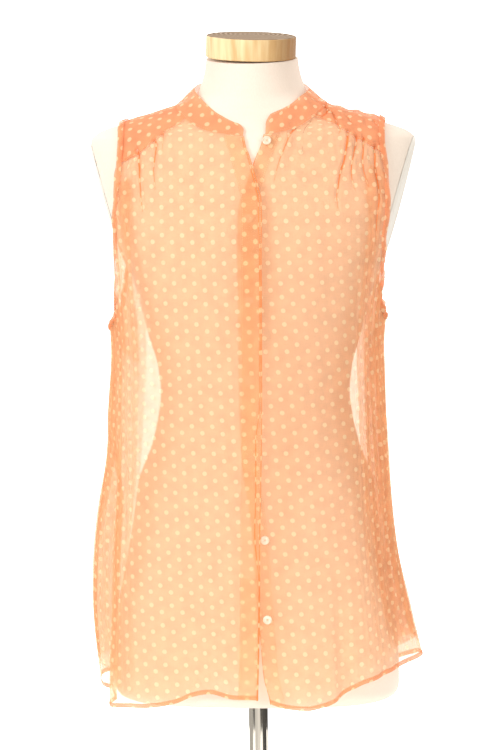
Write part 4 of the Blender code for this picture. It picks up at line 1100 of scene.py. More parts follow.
def jersey_material():
    g = Graph("form_jersey")
    place = g.position()
    rib = g.noise(place, 900.0, 2.0, stretch=(1.0, 1.0, 0.35))
    knit = g.noise(place, 2200.0, 1.0)
    wide = g.noise(place, 7.0, 2.0)
    colour = g.mix(g.ramp(wide, 0.3, 0.7), (0.87, 0.735, 0.61), (0.92, 0.79, 0.665))
    # Painted shade: the colour darkens where the rib's bump is low, in the rib's grooves.
    shade = g.mix(g.ramp(rib, 0.35, 0.65), (0.83, 0.69, 0.56), colour)
    g.link(g.mix(0.35, colour, shade), g.shader.inputs["Base Color"])
    g.shader.inputs["Roughness"].default_value = 0.88
    g.shader.inputs["Sheen Weight"].default_value = 0.2
    g.shader.inputs["Specular IOR Level"].default_value = 0.2
    g.bump(g.math("ADD", rib, knit), 0.35, 0.3 * MM)
    return g.material


def plate_material():
    g = Graph("arm_plate")
    place = g.position()
    grain = g.noise(place, 700.0, 3.0)
    wide = g.noise(place, 12.0, 2.0)
    g.link(g.mix(g.ramp(wide, 0.35, 0.65), (0.84, 0.77, 0.67), (0.90, 0.84, 0.75)),
           g.shader.inputs["Base Color"])
    g.shader.inputs["Roughness"].default_value = 0.6
    g.bump(grain, 0.25, 0.15 * MM)
    return g.material


def wood_material():
    """Upright staves of light wood with painted shade browning them towards +X, and a darker top face that
    is partly end grain and partly painted shade.
    """
    g = Graph("cap_wood")
    place = g.position()
    streak = g.noise(place, 90.0, 4.0, stretch=(1.0, 1.0, 0.06))
    board = g.noise(place, 16.0, 2.0, stretch=(1.0, 1.0, 0.05))
    pore = g.noise(place, 600.0, 2.0, stretch=(1.0, 1.0, 0.08))
    ring = g.node("ShaderNodeTexWave", wave_type="RINGS", rings_direction="Z")
    ring.inputs["Scale"].default_value = 55.0
    ring.inputs["Distortion"].default_value = 3.0
    ring.inputs["Detail"].default_value = 2.0
    g.link(place, ring.inputs["Vector"])
    side = g.mix(g.ramp(streak, 0.35, 0.68), (0.70, 0.44, 0.19), (0.95, 0.75, 0.43))
    side = g.mix(g.ramp(board, 0.5, 0.62, 0.0, 0.35), side, (0.70, 0.45, 0.20))
    across = g.node("ShaderNodeSeparateXYZ")
    g.link(place, across.inputs[0])
    # Painted shade: the side colour darkens towards +X, the side turned away from the key light.
    side = g.mix(g.ramp(across.outputs[0], 14 * MM, 50 * MM, 0.0, 0.9), side, (0.38, 0.19, 0.065))
    # The top face's darker colour is partly end grain and partly painted shade.
    end = g.mix(g.ramp(ring.outputs["Fac"], 0.2, 0.9), (0.26, 0.165, 0.095), (0.50, 0.37, 0.26))
    normal = g.node("ShaderNodeNewGeometry").outputs["Normal"]
    split = g.node("ShaderNodeSeparateXYZ")
    g.link(normal, split.inputs[0])
    up = g.ramp(split.outputs[2], 0.5, 0.85)
    g.link(g.mix(up, side, end), g.shader.inputs["Base Color"])
    g.link(g.ramp(pore, 0.3, 0.7, 0.55, 0.7), g.shader.inputs["Roughness"])
    g.shader.inputs["Specular IOR Level"].default_value = 0.25
    g.bump(g.math("ADD", streak, pore), 0.25, 0.2 * MM)
    return g.material


def steel_material():
    g = Graph("pole_steel")
    place = g.position()
    brush = g.noise(place, 500.0, 2.0, stretch=(1.0, 1.0, 0.02))
    g.shader.inputs["Base Color"].default_value = (0.77, 0.71, 0.61, 1)
    g.shader.inputs["Metallic"].default_value = 1.0
    g.link(g.ramp(brush, 0.2, 0.8, 0.04, 0.09), g.shader.inputs["Roughness"])
    g.bump(brush, 0.12, 0.05 * MM)
    return g.material


def paint_material():
    g = Graph("base_paint")
    place = g.position()
    peel = g.noise(place, 260.0, 3.0)
    dust = g.noise(place, 18.0, 4.0)
    g.link(g.mix(g.ramp(dust, 0.35, 0.7), (0.74, 0.72, 0.68), (0.84, 0.82, 0.79)),
           g.shader.inputs["Base Color"])
    g.link(g.ramp(dust, 0.3, 0.7, 0.32, 0.48), g.shader.inputs["Roughness"])
    g.shader.inputs["Coat Weight"].default_value = 0.3
    g.bump(peel, 0.12, 0.2 * MM)
    return g.material


def button_material():
    g = Graph("button_plastic")
    place = g.position()
    swirl = g.noise(place, 350.0, 4.0)
    g.link(g.mix(g.ramp(swirl, 0.35, 0.7), (0.80, 0.62, 0.44), (0.93, 0.80, 0.63)),
           g.shader.inputs["Base Color"])
    g.shader.inputs["Roughness"].default_value = 0.28
    g.shader.inputs["Coat Weight"].default_value = 0.4
    g.bump(swirl, 0.1, 0.05 * MM)
    return g.material


def thread_material():
    g = Graph("thread")
    place = g.position()
    twist = g.noise(place, 3000.0, 1.0)
    g.link(g.mix(twist, (0.80, 0.36, 0.17), (0.92, 0.50, 0.28)), g.shader.inputs["Base Color"])
    g.shader.inputs["Roughness"].default_value = 0.6
    g.shader.inputs["Sheen Weight"].default_value = 0.3
    g.bump(twist, 0.3, 0.05 * MM)
    return g.material


# ---------------------------------------------------------------- flat positions of the weave

ARC_ANGLES = np.linspace(-math.pi, math.pi, 721)
ARC_LENGTHS = np.linspace(0, PROFILE_LENGTHS[-1], 150)
_arc_points = cloth_points(*np.meshgrid(ARC_ANGLES, ARC_LENGTHS))
_arc_steps = np.linalg.norm(np.diff(_arc_points, axis=1), axis=-1)
_arc_run = np.concatenate([np.zeros((len(ARC_LENGTHS), 1)), np.cumsum(_arc_steps, axis=1)], axis=1)
ARC_RUN = _arc_run - _arc_run[:, 360:361]


def arc_from_front(angle, length):
    """Distance round the cloth from the centre front, read between the table's points."""
    turn = turn_difference(angle, 0)
    a = (turn + math.pi) / (2 * math.pi) * (len(ARC_ANGLES) - 1)
    b = np.clip(length / ARC_LENGTHS[-1], 0, 1) * (len(ARC_LENGTHS) - 1)
    i = np.clip(a.astype(int), 0, len(ARC_ANGLES) - 2)
    j = np.clip(b.astype(int), 0, len(ARC_LENGTHS) - 2)
    s, t = a - i, b - j
    low = ARC_RUN[j, i] * (1 - s) + ARC_RUN[j, i + 1] * s
    high = ARC_RUN[j + 1, i] * (1 - s) + ARC_RUN[j + 1, i + 1] * s
    return low * (1 - t) + high * t


def flat_front(angle, length):
    return np.stack([arc_from_front(angle, length), length], axis=-1)


def flat_back(angle, length):
    run = arc_from_front(angle, length)
    half_left = arc_from_front(np.full_like(length, -math.pi + 1e-6), length)
    half_right = arc_from_front(np.full_like(length, math.pi - 1e-6), length)
    across = np.where(run > 0, half_right - run, half_left - run)
    return np.stack([across, length], axis=-1)


def flat_grid(points):
    """Distances along the rows and up the columns of a grid of points."""
    steps = np.linalg.norm(np.diff(points, axis=1), axis=-1).mean(axis=0)
    run = np.concatenate([[0], np.cumsum(steps)])
    across = np.tile(run - run[-1] / 2, (len(points), 1))
    along = np.linalg.norm(np.diff(points, axis=0), axis=-1)
    along = np.concatenate([np.zeros((1, points.shape[1])), np.cumsum(along, axis=0)], axis=0)
    return np.stack([across, along], axis=-1)


# ---------------------------------------------------------------- meshes

def place_piece(piece, slot, *nodes):
    bpy.context.scene.collection.objects.link(piece)
    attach(piece, "root")
    if nodes:
        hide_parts(*nodes)
    return piece


def mesh_piece(name, verts, faces, material, slot, *nodes):
    mesh = bpy.data.meshes.new(name)
    mesh.from_pydata([tuple(p) for p in verts], [], faces)
    mesh.validate()
    mesh.shade_smooth()
    mesh.materials.append(material)
    return place_piece(bpy.data.objects.new(name, mesh), slot, *nodes)


def grid_faces(rows, columns, closed=False):
    faces = []
    for i in range(rows - 1):
        for j in range(columns if closed else columns - 1):
            k = (j + 1) % columns
            a, b = i * columns + j, i * columns + k
            faces.append((a, b, b + columns, a + columns))
    return faces


def cloth_sheet(name, points, flat, material, slot, *nodes, closed=False):
    """One sheet of cloth on a grid of points, with its flat positions as UVs in metres."""
    rows, columns, _ = points.shape
    piece = mesh_piece(name, points.reshape(-1, 3), grid_faces(rows, columns, closed), material,
                       slot, *nodes)
    mesh = piece.data
    layer = mesh.uv_layers.new(name="UVMap")
    index = np.zeros(len(mesh.loops), int)
    mesh.loops.foreach_get("vertex_index", index)
    layer.data.foreach_set("uv", flat.reshape(-1, 2)[index].astype(np.float32).ravel())
    return piece


def surface_normals(points):
    across = np.gradient(points, axis=1)
    along = np.gradient(points, axis=0)
    normal = np.cross(across, along)
    return normal / np.maximum(np.linalg.norm(normal, axis=-1, keepdims=True), 1e-12)


# ---------------------------------------------------------------- cloth pieces

def thinned(patch, fine_parts, step):
    """Keep every column within the fine shares of a patch and one in a few elsewhere."""
    angle, length = patch
    count = angle.shape[1]
    keep = [k for k in range(count)
            if k % step == 0 or k == count - 1
            or any(low <= k / (count - 1) <= high for low, high in fine_parts)]
    return angle[:, keep], length[:, keep]


def front_panel_grid(side):
    """Angle and length grid of a front panel, columns from the closure to the side."""
    flap = side < 0
    near = resample(closure_edge(flap), SEAM_ROWS + ARMHOLE_ROWS)
    seam = resample(side_seam(side, -SIDE_SEAM_GAP), SEAM_ROWS)
    arm = armhole_edge(side, last=SEAM_LEFT[1][-1] / MM if flap else SEAM_RIGHT[1][-1] / MM)
    arm = resample(shorten_end(arm, SEAM_HALF_GAP * 2, 2 * SEAM_HALF_GAP), ARMHOLE_ROWS)
    far = joined(seam, arm)
    count = NECK_COLUMNS + GATHER_COLUMNS
    low = resample(hem_edge(near[0][0], far[0][0]), count)
    join = (SEAM_LEFT if flap else SEAM_RIGHT)[0][0]
    neck = resample(neck_edge(near[0][-1], join, -SEAM_HALF_GAP), NECK_COLUMNS)
    seam_top = resample(yoke_seam(side, -SEAM_HALF_GAP), GATHER_COLUMNS)
    high = joined(neck, seam_top)
    high[0][-1], high[1][-1] = far[0][-1], far[1][-1]
    low[0][-1], low[1][-1] = far[0][0], far[1][0]
    low[0][0], low[1][0] = near[0][0], near[1][0]
    high[0][0], high[1][0] = near[0][-1], near[1][-1]
    return thinned(blend_patch(low, high, near, far), [(0.5, 1.0)], COLUMN_STEP)


def back_grid():
    def edge(side):
        seam = side_seam(side, SIDE_SEAM_GAP)
        arm = armhole_edge(side, back=True, last=YOKE_BACK_CORNER)
        arm = resample(shorten_end(arm, SEAM_HALF_GAP * 2, 2 * SEAM_HALF_GAP), ARMHOLE_ROWS)
        angle, length = joined(resample(seam, SEAM_ROWS), arm)
        return np.where(angle < 0, angle + 2 * math.pi, angle), length

    near = edge(1)
    far = edge(-1)
    hem_angle = np.linspace(near[0][0], far[0][0], BACK_COLUMNS + 1)
    low = (hem_angle, length_at(hem_height(turn_difference(hem_angle, 0))))
    top_angle = np.linspace(near[0][-1], far[0][-1], BACK_COLUMNS + 1)
    top_height = yoke_back_height(turn_difference(top_angle, 0)) - SEAM_HALF_GAP
    high = (top_angle, length_at(top_height))
    near[1][-1] = high[1][0]
    far[1][-1] = high[1][-1]
    low[1][0] = near[1][0]
    low[1][-1] = far[1][0]
    return thinned(blend_patch(low, high, near, far), [(0.0, 0.24), (0.76, 1.0)], COLUMN_STEP)


def yoke_grid():
    """Yoke grid: columns run round the neck from one front seam to the other."""
    def shoulder(side):
        front_end = (SEAM_LEFT if side < 0 else SEAM_RIGHT)[1][-1] / MM
        front = armhole_edge(side, first=front_end, last=SHOULDER_POINT)
        back = armhole_edge(side, back=True, first=YOKE_BACK_CORNER, last=SHOULDER_POINT)
        whole = joined(front, (back[0][::-1], back[1][::-1]))
        return resample(whole, YOKE_SHOULDER_COLUMNS)

    def unwrap(curve):
        angle, length = curve
        return np.where(angle < 0, angle + 2 * math.pi, angle), length

    right = unwrap(shoulder(1))
    left = unwrap(shoulder(-1))
    back_angle = np.linspace(right[0][-1], left[0][-1], YOKE_BACK_COLUMNS + 1)
    back_height = yoke_back_height(turn_difference(back_angle, 0)) + SEAM_HALF_GAP
    outer = joined(right, (back_angle, length_at(back_height)), (left[0][::-1], left[1][::-1]))
    seam_right = resample(yoke_seam(1, YOKE_SEAM_GAP), YOKE_ROWS)
    seam_left = resample(unwrap(yoke_seam(-1, YOKE_SEAM_GAP)), YOKE_ROWS)
    count = len(outer[0]) - 1
    inset = YOKE_SEAM_GAP / NECK_RADIUS
    first = seam_right[0][0] + inset
    inner = resample(neck_edge(first, seam_left[0][0] - inset, -SEAM_HALF_GAP), count)
    for seam, k in ((seam_right, 0), (seam_left, -1)):
        outer[0][k], outer[1][k] = seam[0][-1], seam[1][-1]
        seam[0][0], seam[1][0] = inner[0][k], inner[1][k]
    return blend_patch(inner, outer, seam_right, seam_left)


def make_fronts(materials):
    made = {}
    for side, word in ((-1, "right"), (1, "left")):
        angle, length = front_panel_grid(side)
        points = cloth_points(angle, length, out=WALL / 2, flap=side < 0)
        made[word] = cloth_sheet("cloth_front_" + word, points, flat_front(angle, length),
                                 materials[word], "chiffon", "front_" + word)
    return made


def make_back(material):
    angle, length = back_grid()
    points = cloth_points(turn_difference(angle, 0), length, out=WALL / 2)
    return cloth_sheet("cloth_back", points, flat_back(angle, length), material, "chiffon", "back")


def make_yoke(material):
    angle, length = yoke_grid()
    points = cloth_points(turn_difference(angle, 0), length, out=DOUBLE_WALL / 2)
    ridge = YOKE_RIDGE_TOP - YOKE_RIDGE_FALL * np.abs(points[..., 0])
    before = points[..., 1] < YOKE_RIDGE_PLACE
    rise = points[..., 1] + np.where(before, points[..., 2], 2 * ridge - points[..., 2])
    flat = np.stack([points[..., 0] * YOKE_STRETCH, rise * YOKE_RISE], axis=-1)
    return cloth_sheet("cloth_yoke", points, flat, material, "chiffon_double", "yoke")


def collar_points(out):
    """Band collar: stands up from the neck seam and leans in towards the neck."""
    knots = [math.radians(row.angle) for row in BAND_TOP]
    radius_curve = monotone_curve(knots, [row.radius * MM for row in BAND_TOP])
    left_curve = monotone_curve(knots, [row.left * MM for row in BAND_TOP])
    right_curve = monotone_curve(knots, [row.right * MM for row in BAND_TOP])
    share = np.linspace(0, 1, BAND_COLUMNS + 1)
    rows = []
    for t in np.linspace(0, 1, BAND_ROWS + 1):
        first = math.radians(BAND_LEFT_END.seam * (1 - t) + BAND_LEFT_END.top * t)
        last = math.radians(BAND_RIGHT_END.seam * (1 - t) + BAND_RIGHT_END.top * t)
        rounding = BAND_CORNER * np.clip((t - BAND_CORNER_FROM) / (1 - BAND_CORNER_FROM), 0, 1) ** 2.5
        angle = first + rounding + (last + 2 * math.pi - first - 2 * rounding) * share
        angle = turn_difference(angle, 0)
        turn = np.abs(angle)
        lower = cloth_points(angle, length_at(neck_height(turn)) - BAND_LAP)
        radius = radius_curve(turn)
        height = np.where(angle < 0, right_curve(turn), left_curve(turn))
        upper = np.stack([radius * np.sin(angle), BAND_AXIS_Y - radius * np.cos(angle),
                          FORM_UNDERSIDE + height], axis=-1)
        outward = np.stack([np.sin(angle), -np.cos(angle), np.zeros_like(angle)], axis=-1)
        bow = BAND_BOW * math.sin(math.pi * t)
        rows.append(lower * (1 - t) + upper * t + outward * bow)
    points = clear_of_form(np.array(rows), BAND_CLEARANCE, FORM_SECTIONS[-1].height * MM)
    share = np.linspace(0, 1, BAND_ROWS + 1)[:, None, None]
    lap = BAND_LAP_OUT * np.exp(-(share * BAND_ROWS / 1.6) ** 2)
    return points + surface_normals(points) * (out + lap)


def make_collar(material):
    points = collar_points(DOUBLE_WALL / 2)
    return cloth_sheet("cloth_collar_band", points, flat_grid(points), material, "chiffon_double",
                       "collar_band")


def closure_strip_grid(flap, first, last):
    """Angle and length grid along a centre front edge, between two distances from it."""
    grids = []
    for step in np.linspace(first, last, STRIP_COLUMNS + 1) * (-1 if flap else 1):
        edge = shorten_end(closure_edge(flap, step), 0, STRIP_END)
        grids.append(resample(edge, SEAM_ROWS + ARMHOLE_ROWS))
    angle = np.array([g[0] for g in grids]).T
    length = np.array([g[1] for g in grids]).T
    return angle, length


def fold_line(name, flap, start, width, out, material):
    """A folded edge seen end on: a narrow close strip beside a centre front edge.

    start is a distance from the edge, or a table of profile length and distance.
    """
    angle, length = resample(shorten_end(closure_edge(flap), 0, STRIP_END), FOLD_ROWS)
    _, _, round_way, _ = base_frame(angle, length)
    metric = np.linalg.norm(round_way, axis=-1)
    if isinstance(start, list):
        steps = monotone_curve([row[0] * MM for row in start], [row[1] * MM for row in start])
        begin = steps(np.clip(length, start[0][0] * MM, start[-1][0] * MM))
    else:
        begin = np.full_like(length, start)
    uneven = 0.75 + 0.25 * np.sin(length / (23 * MM)) * np.sin(length / (61 * MM) + 1)
    rows = []
    for t in np.linspace(0, 1, 4):
        step = (begin + width * uneven * t) * (-1 if flap else 1)
        rise = 0.3 * MM * math.sin(math.pi * t)
        rows.append(cloth_points(angle + step / metric, length, out=out + rise, flap=flap))
    points = np.array(rows)
    return cloth_sheet(name, points, flat_grid(points), material, "chiffon_double")


def make_closure(materials):
    """Fly placket on one front, button stand on the other, each with its folded edges."""
    layer = WALL + LAYER_GAP
    strips = [
        ("cloth_placket_fly", True, FLY_WIDTH, "placket_fly", "fly"),
        ("cloth_button_stand", False, STAND_WIDTH, "button_stand", "stand"),
    ]
    made = []
    for name, flap, width, node, material in strips:
        angle, length = closure_strip_grid(flap, 0.0, width)
        points = cloth_points(angle, length, out=layer + WALL / 2, flap=flap)
        made.append(cloth_sheet(name, points, flat_front(angle, length), materials[material],
                                "chiffon_double", node))
    angle, length = closure_strip_grid(True, 0.0, FLY_WIDTH)
    short = length.mean(axis=1) < FLY_END_LENGTH
    points = cloth_points(angle[short], length[short], out=layer + WALL, flap=True)
    made.append(cloth_sheet("cloth_placket_turn_up", points, flat_front(angle[short], length[short]),
                            materials["fly"], "chiffon_double"))
    # These folded edges are coloured with painted shade as well as layered.
    made.append(fold_line("cloth_placket_edge", True, 0.1 * MM, 1.2 * MM, layer + 1.2 * WALL,
                          materials["fold"]))
    made.append(fold_line("cloth_placket_inner_edge", True, FLY_FOLD, 1.3 * MM, layer + 1.25 * WALL,
                          materials["fold"]))
    made.append(fold_line("cloth_stand_edge", False, 0.1 * MM, 1.0 * MM, layer + 1.2 * WALL,
                          materials["soft_fold"]))
    return made


def make_tucks(material):
    """Close tucks of cloth at the bottoms of the sharp creases, tapering out along each."""
    made = []
    for number, crease in enumerate(CREASES, start=1):
        if not crease.tuck:
            continue
        turns, lengths = crease_places(crease)
        run = np.linspace(0, 1, len(turns))
        share = np.linspace(0, 1, TUCK_STEPS)
        angle = monotone_curve(run, turns)(share)
        length = monotone_curve(run, lengths)(share)
        _, normal, _, _ = base_frame(angle, length)
        place = cloth_points(angle, length)
        along = np.gradient(place, axis=0)
        along /= np.linalg.norm(along, axis=-1, keepdims=True)
        across = np.cross(normal, along)
        across /= np.linalg.norm(across, axis=-1, keepdims=True)
        half = crease.tuck * MM / 2 * (1 - share) ** 0.5 * np.minimum(1, share * 8 + 0.35)
        rows = []
        for t in (-1, -0.4, 0.4, 1):
            turn, reach = step_on_surface(angle, length, across * half[:, None], t)
            out = DOUBLE_WALL + 0.5 * MM - 0.5 * MM * abs(t)
            rows.append(cloth_points(turn, reach, out=out))
        points = np.array(rows)
        made.append(cloth_sheet(f"cloth_tuck_{number}", points, flat_grid(points), material, "chiffon"))
    return made


def folded_under(name, patch, inner, flap, flat, material, first_row=SIDE_FOLD_HEM_ROWS,
                 drop=SIDE_FOLD_DROP):
    """Extra layer just inside a panel, from its side edge in to an inner angle."""
    rows = slice(first_row, len(patch[0]) - SIDE_FOLD_TOP_ROWS)
    turns, reaches = [], []
    for angle, length in zip(patch[0][rows], patch[1][rows]):
        order = np.argsort(angle)
        want = np.linspace(inner(angle[-1], length[-1]), angle[-1], SIDE_FOLD_STEPS)
        turns.append(want)
        reaches.append(np.interp(want, angle[order], length[order]))
    turns, reaches = np.array(turns), np.array(reaches)
    points = cloth_points(turn_difference(turns, 0), reaches, out=-drop, flap=flap)
    return cloth_sheet(name, points, flat(turns, reaches) + SIDE_FOLD_SHIFT, material, "chiffon")


def make_side_folds(materials):
    """Extra layers at the sides, which deepen the cloth there; on the +X side their colour and density also
    carry painted shade.

    Their inner edges are free and join no panel.
    """
    made = {}
    whole_back = back_grid()
    for side, word, table in ((-1, "right", SIDE_FOLD_RIGHT), (1, "left", SIDE_FOLD_LEFT)):
        lengths = [row[0] * MM for row in table]
        turn = monotone_curve(lengths, [math.radians(row[1]) for row in table])
        made["front_" + word] = folded_under(
            "cloth_side_fold_front_" + word, front_panel_grid(side),
            lambda edge, length: turn(length), side < 0, flat_front, materials[word])
        if side < 0:
            made["arm_right"] = folded_under(
                "cloth_side_fold_arm_right", front_panel_grid(side),
                lambda edge, length: turn(length), True, flat_front, materials["arm"],
                first_row=SEAM_ROWS + SIDE_FOLD_ARM_ROWS, drop=2 * SIDE_FOLD_DROP)
        patch = [grid if side < 0 else grid[:, ::-1] for grid in whole_back]
        seam_turn = math.pi - side * math.pi / 2

        def inner(edge, length):
            near_seam = seam_turn + side * SIDE_FOLD_BACK
            beside_edge = edge + side * SIDE_FOLD_LEAST
            return max(near_seam, beside_edge) if side > 0 else min(near_seam, beside_edge)

        made["back_" + word] = folded_under("cloth_side_fold_back_" + word, patch, inner, False,
                                            flat_back, materials[word])
    return made


def hem_strip(name, angle_first, angle_last, flap, material):
    """Rolled hem: a narrow doubled edge that bulges a little and rides on its panel."""
    angle = np.linspace(angle_first, angle_last, HEM_STEPS + 1)
    low = length_at(hem_height(turn_difference(angle, 0)))
    rows = []
    for t in np.linspace(0, 1, STRIP_COLUMNS + 1):
        out = WALL / 2 + 0.15 * MM + HEM_BULGE * math.sin(math.pi * t)
        rows.append(cloth_points(turn_difference(angle, 0), low + HEM_WIDTH * t, out=out, flap=flap))
    points = np.array(rows)
    return cloth_sheet(name, points, flat_grid(points), material, "chiffon_double")


def make_hems(material):
    right, _ = front_panel_grid(-1)
    left, _ = front_panel_grid(1)
    back, _ = back_grid()
    return {
        "right": hem_strip("hem_front_right", right[0][0], right[0][-1], True, material),
        "left": hem_strip("hem_front_left", left[0][0], left[0][-1], False, material),
        "back": hem_strip("hem_back", back[0][0], back[0][-1], False, material),
    }


def binding_frame(side):
    front = resample(armhole_edge(side), BINDING_STEPS)
    back = resample(armhole_edge(side, back=True), BINDING_STEPS)
    angle = np.concatenate([front[0], back[0][::-1][1:-1]])
    length = np.concatenate([front[1], back[1][::-1][1:-1]])
    place, normal, _, _ = base_frame(angle, length)
    along = np.roll(place, -1, axis=0) - np.roll(place, 1, axis=0)
    along /= np.linalg.norm(along, axis=-1, keepdims=True)
    inward = np.cross(normal, along) * side
    return angle, length, inward


def make_binding(side, word, material):
    """Bias strip round the armhole, a little full, on top of the panels that meet there."""
    angle, length, inward = binding_frame(side)
    high = smooth_step((height_at(length) - SHOULDER_FROM) / SHOULDER_RUN)
    rows = []
    for t in np.linspace(0, 1, BINDING_ROWS + 1):
        turn, reach = step_on_surface(angle, length, inward, BINDING_WIDTH * t)
        place = cloth_points(turn, reach)
        _, normal, _, _ = base_frame(turn, reach)
        bulge = BINDING_BULGE * math.sin(math.pi * t)
        out = WALL + LAYER_GAP + bulge + high * (DOUBLE_WALL - WALL + SHOULDER_GAP)
        rows.append(place + normal * out[:, None])
    points = np.array(rows)
    flat = flat_grid(points)
    return cloth_sheet("cloth_armhole_binding_" + word, points, flat, material, "chiffon_double",
                       "armhole_binding_" + word, closed=True)


def seam_allowance(name, curve, first, last, out, material, flap=False):
    """Turned-under edges of a seam, which show through the sheer cloth as a deeper stripe."""
    angle, length = curve
    rows = []
    for t in np.linspace(0, 1, 4):
        reach = length + first + (last - first) * t
        rows.append(cloth_points(turn_difference(angle, 0), reach, out=out, flap=flap))
    points = np.array(rows)
    return cloth_sheet(name, points, flat_grid(points), material, "chiffon_double")


def make_seams(material):
    made = {}
    for side, word in ((-1, "right"), (1, "left")):
        curve = resample(yoke_seam(side, 0), GATHER_COLUMNS)
        made[word] = seam_allowance("seam_yoke_" + word, curve, 0.8 * MM, SEAM_ALLOWANCE,
                                    DOUBLE_WALL + 0.25 * MM, material)
    angle = np.linspace(math.pi - BACK_SEAM_REACH, math.pi + BACK_SEAM_REACH, GATHER_COLUMNS)
    curve = (angle, length_at(yoke_back_height(turn_difference(angle, 0))))
    made["back"] = seam_allowance("seam_yoke_back", curve, 0.8 * MM, SEAM_ALLOWANCE,
                                  DOUBLE_WALL + 0.25 * MM, material)
    return made


# ---------------------------------------------------------------- stitches

def stitch_run(path, normals):
    """Small pointed stitches along a path of points; returns their points and faces."""
    run = np.concatenate([[0], np.cumsum(np.linalg.norm(np.diff(path, axis=0), axis=1))])
    starts = np.arange(STITCH_PITCH / 2, run[-1] - STITCH_LENGTH, STITCH_PITCH)

    def at(distance, values):
        return np.stack([np.interp(distance, run, values[:, k]) for k in range(3)], axis=-1)

    a = at(starts, path)
    b = at(starts + STITCH_LENGTH, path)
    up = at(starts, normals)
    along = b - a
    along /= np.linalg.norm(along, axis=1, keepdims=True)
    across = np.cross(along, up)
    across /= np.linalg.norm(across, axis=1, keepdims=True)
    middle = (a + b) / 2
    wide = across * STITCH_RADIUS
    high = up * STITCH_RADIUS
    verts = np.stack([a, b, middle + wide, middle + high, middle - wide, middle - high], axis=1)
    return verts.reshape(-1, 3)


def stitches(name, paths, material):
    """Join every run of stitches in one piece."""
    blocks = [stitch_run(path, normals) for path, normals in paths]
    verts = np.concatenate(blocks)
    faces = []
    for k in range(0, len(verts), 6):
        for i in range(4):
            a, b = k + 2 + i, k + 2 + (i + 1) % 4
            faces.append((k, a, b))
            faces.append((k + 1, b, a))
    return mesh_piece(name, verts, faces, material, "chiffon_double")


def stitch_path(angle, length, out, flap=False):
    turn = turn_difference(np.asarray(angle, float), 0)
    points = cloth_points(turn, length, out=out, flap=flap)
    _, normal, _, _ = base_frame(turn, length)
    return points, normal


def make_stitching(material):
    layer = WALL + LAYER_GAP
    paths = []
    for flap, width in ((True, FLY_WIDTH), (False, STAND_WIDTH)):
        for step in (1.6 * MM, width - 1.2 * MM):
            inset = -step if flap else step
            angle, length = resample(shorten_end(closure_edge(flap, inset), 0, STRIP_END), 400)
            paths.append(stitch_path(angle, length, layer + WALL + 0.2 * MM, flap))
    for side in (-1, 1):
        angle, length = resample(yoke_seam(side, 1.8 * MM), 200)
        paths.append(stitch_path(angle, length, DOUBLE_WALL + 0.45 * MM))
    angle = np.linspace(math.pi - BACK_SEAM_REACH, math.pi + BACK_SEAM_REACH, 300)
    length = length_at(yoke_back_height(turn_difference(angle, 0))) + 1.8 * MM
    paths.append(stitch_path(angle, length, DOUBLE_WALL + 0.45 * MM))
    for grid, flap in ((front_panel_grid(-1), True), (front_panel_grid(1), False), (back_grid(), False)):
        angle = np.linspace(grid[0][0][0], grid[0][0][-1], 400)
        length = length_at(hem_height(turn_difference(angle, 0))) + HEM_WIDTH - 1.0 * MM
        paths.append(stitch_path(angle, length, WALL + 0.35 * MM, flap))
    for side in (-1, 1):
        angle, length, inward = binding_frame(side)
        turn, reach = step_on_surface(angle, length, inward, BINDING_WIDTH - 1.2 * MM)
        high = smooth_step((height_at(length) - SHOULDER_FROM) / SHOULDER_RUN)
        out = WALL + LAYER_GAP + 0.5 * MM + high * (DOUBLE_WALL - WALL + SHOULDER_GAP)
        place = cloth_points(turn, reach)
        _, normal, _, _ = base_frame(turn, reach)
        paths.append((place + normal * out[:, None], normal))
    band = collar_points(DOUBLE_WALL + 0.15 * MM)
    band_normals = surface_normals(band)
    for row in (1, BAND_ROWS - 1):
        paths.append((band[row], band_normals[row]))
    return stitches("stitching", paths, material)


# ---------------------------------------------------------------- buttons

def make_buttons(material, thread):
    """Turned buttons with a rim, a dished face and a thread cross, without holes."""
    stack = 2 * (WALL + LAYER_GAP)
    profile = [(0.0, 0.55), (0.50, 0.55), (0.66, 0.62), (0.76, 0.95), (0.86, 1.0), (0.96, 0.85),
               (1.0, 0.5), (0.97, 0.15), (0.86, 0.0), (0.0, 0.0)]
    sides = 40
    for number, place in enumerate(BUTTONS, start=1):
        height = place.height * MM
        angle = side_angle(place.out * MM, height)
        length = length_at(height)
        centre = cloth_points(angle, length, out=stack)
        _, normal, _, _ = base_frame(angle, length)
        facing = Vector(normal).to_track_quat("Z", "Y").to_matrix().to_4x4()
        matrix = Matrix.Translation(Vector(centre)) @ facing
        verts = []
        for share, rise in profile:
            for k in range(sides):
                turn = 2 * math.pi * k / sides
                verts.append((BUTTON_RADIUS * share * math.cos(turn),
                              BUTTON_RADIUS * share * math.sin(turn), BUTTON_THICKNESS * rise))
        faces = [face[::-1] for face in grid_faces(len(profile), sides, closed=True)]
        name = f"button_{number}_turned"
        mesh = bpy.data.meshes.new(name)
        mesh.from_pydata([matrix @ Vector(v) for v in verts], [], faces)
        mesh.validate()
        mesh.shade_smooth()
        mesh.materials.append(material)
        place_piece(bpy.data.objects.new(name, mesh), "button_plastic", f"button_{number}")
        thread_verts, thread_faces = [], []
        for turn in (math.pi / 4, -math.pi / 4):
            across = Vector((math.cos(turn), math.sin(turn), 0))
            beside = Vector((-math.sin(turn), math.cos(turn), 0)) * 0.35 * MM
            first = len(thread_verts)
            for t in np.linspace(-1, 1, 9):
                base = across * (t * 1.5 * MM)
                lift = BUTTON_THICKNESS * 0.55 + (1 - t * t) * 0.45 * MM
                for k in range(6):
                    spin = 2 * math.pi * k / 6
                    ring = beside * math.cos(spin) + Vector((0, 0, 0.35 * MM * math.sin(spin)))
                    thread_verts.append(matrix @ (base + ring + Vector((0, 0, lift))))
            thread_faces += [tuple(first + v for v in face) for face in grid_faces(9, 6, closed=True)]
        mesh_piece(f"button_{number}_thread", thread_verts, thread_faces, thread, "chiffon_double")


# ---------------------------------------------------------------- dress form

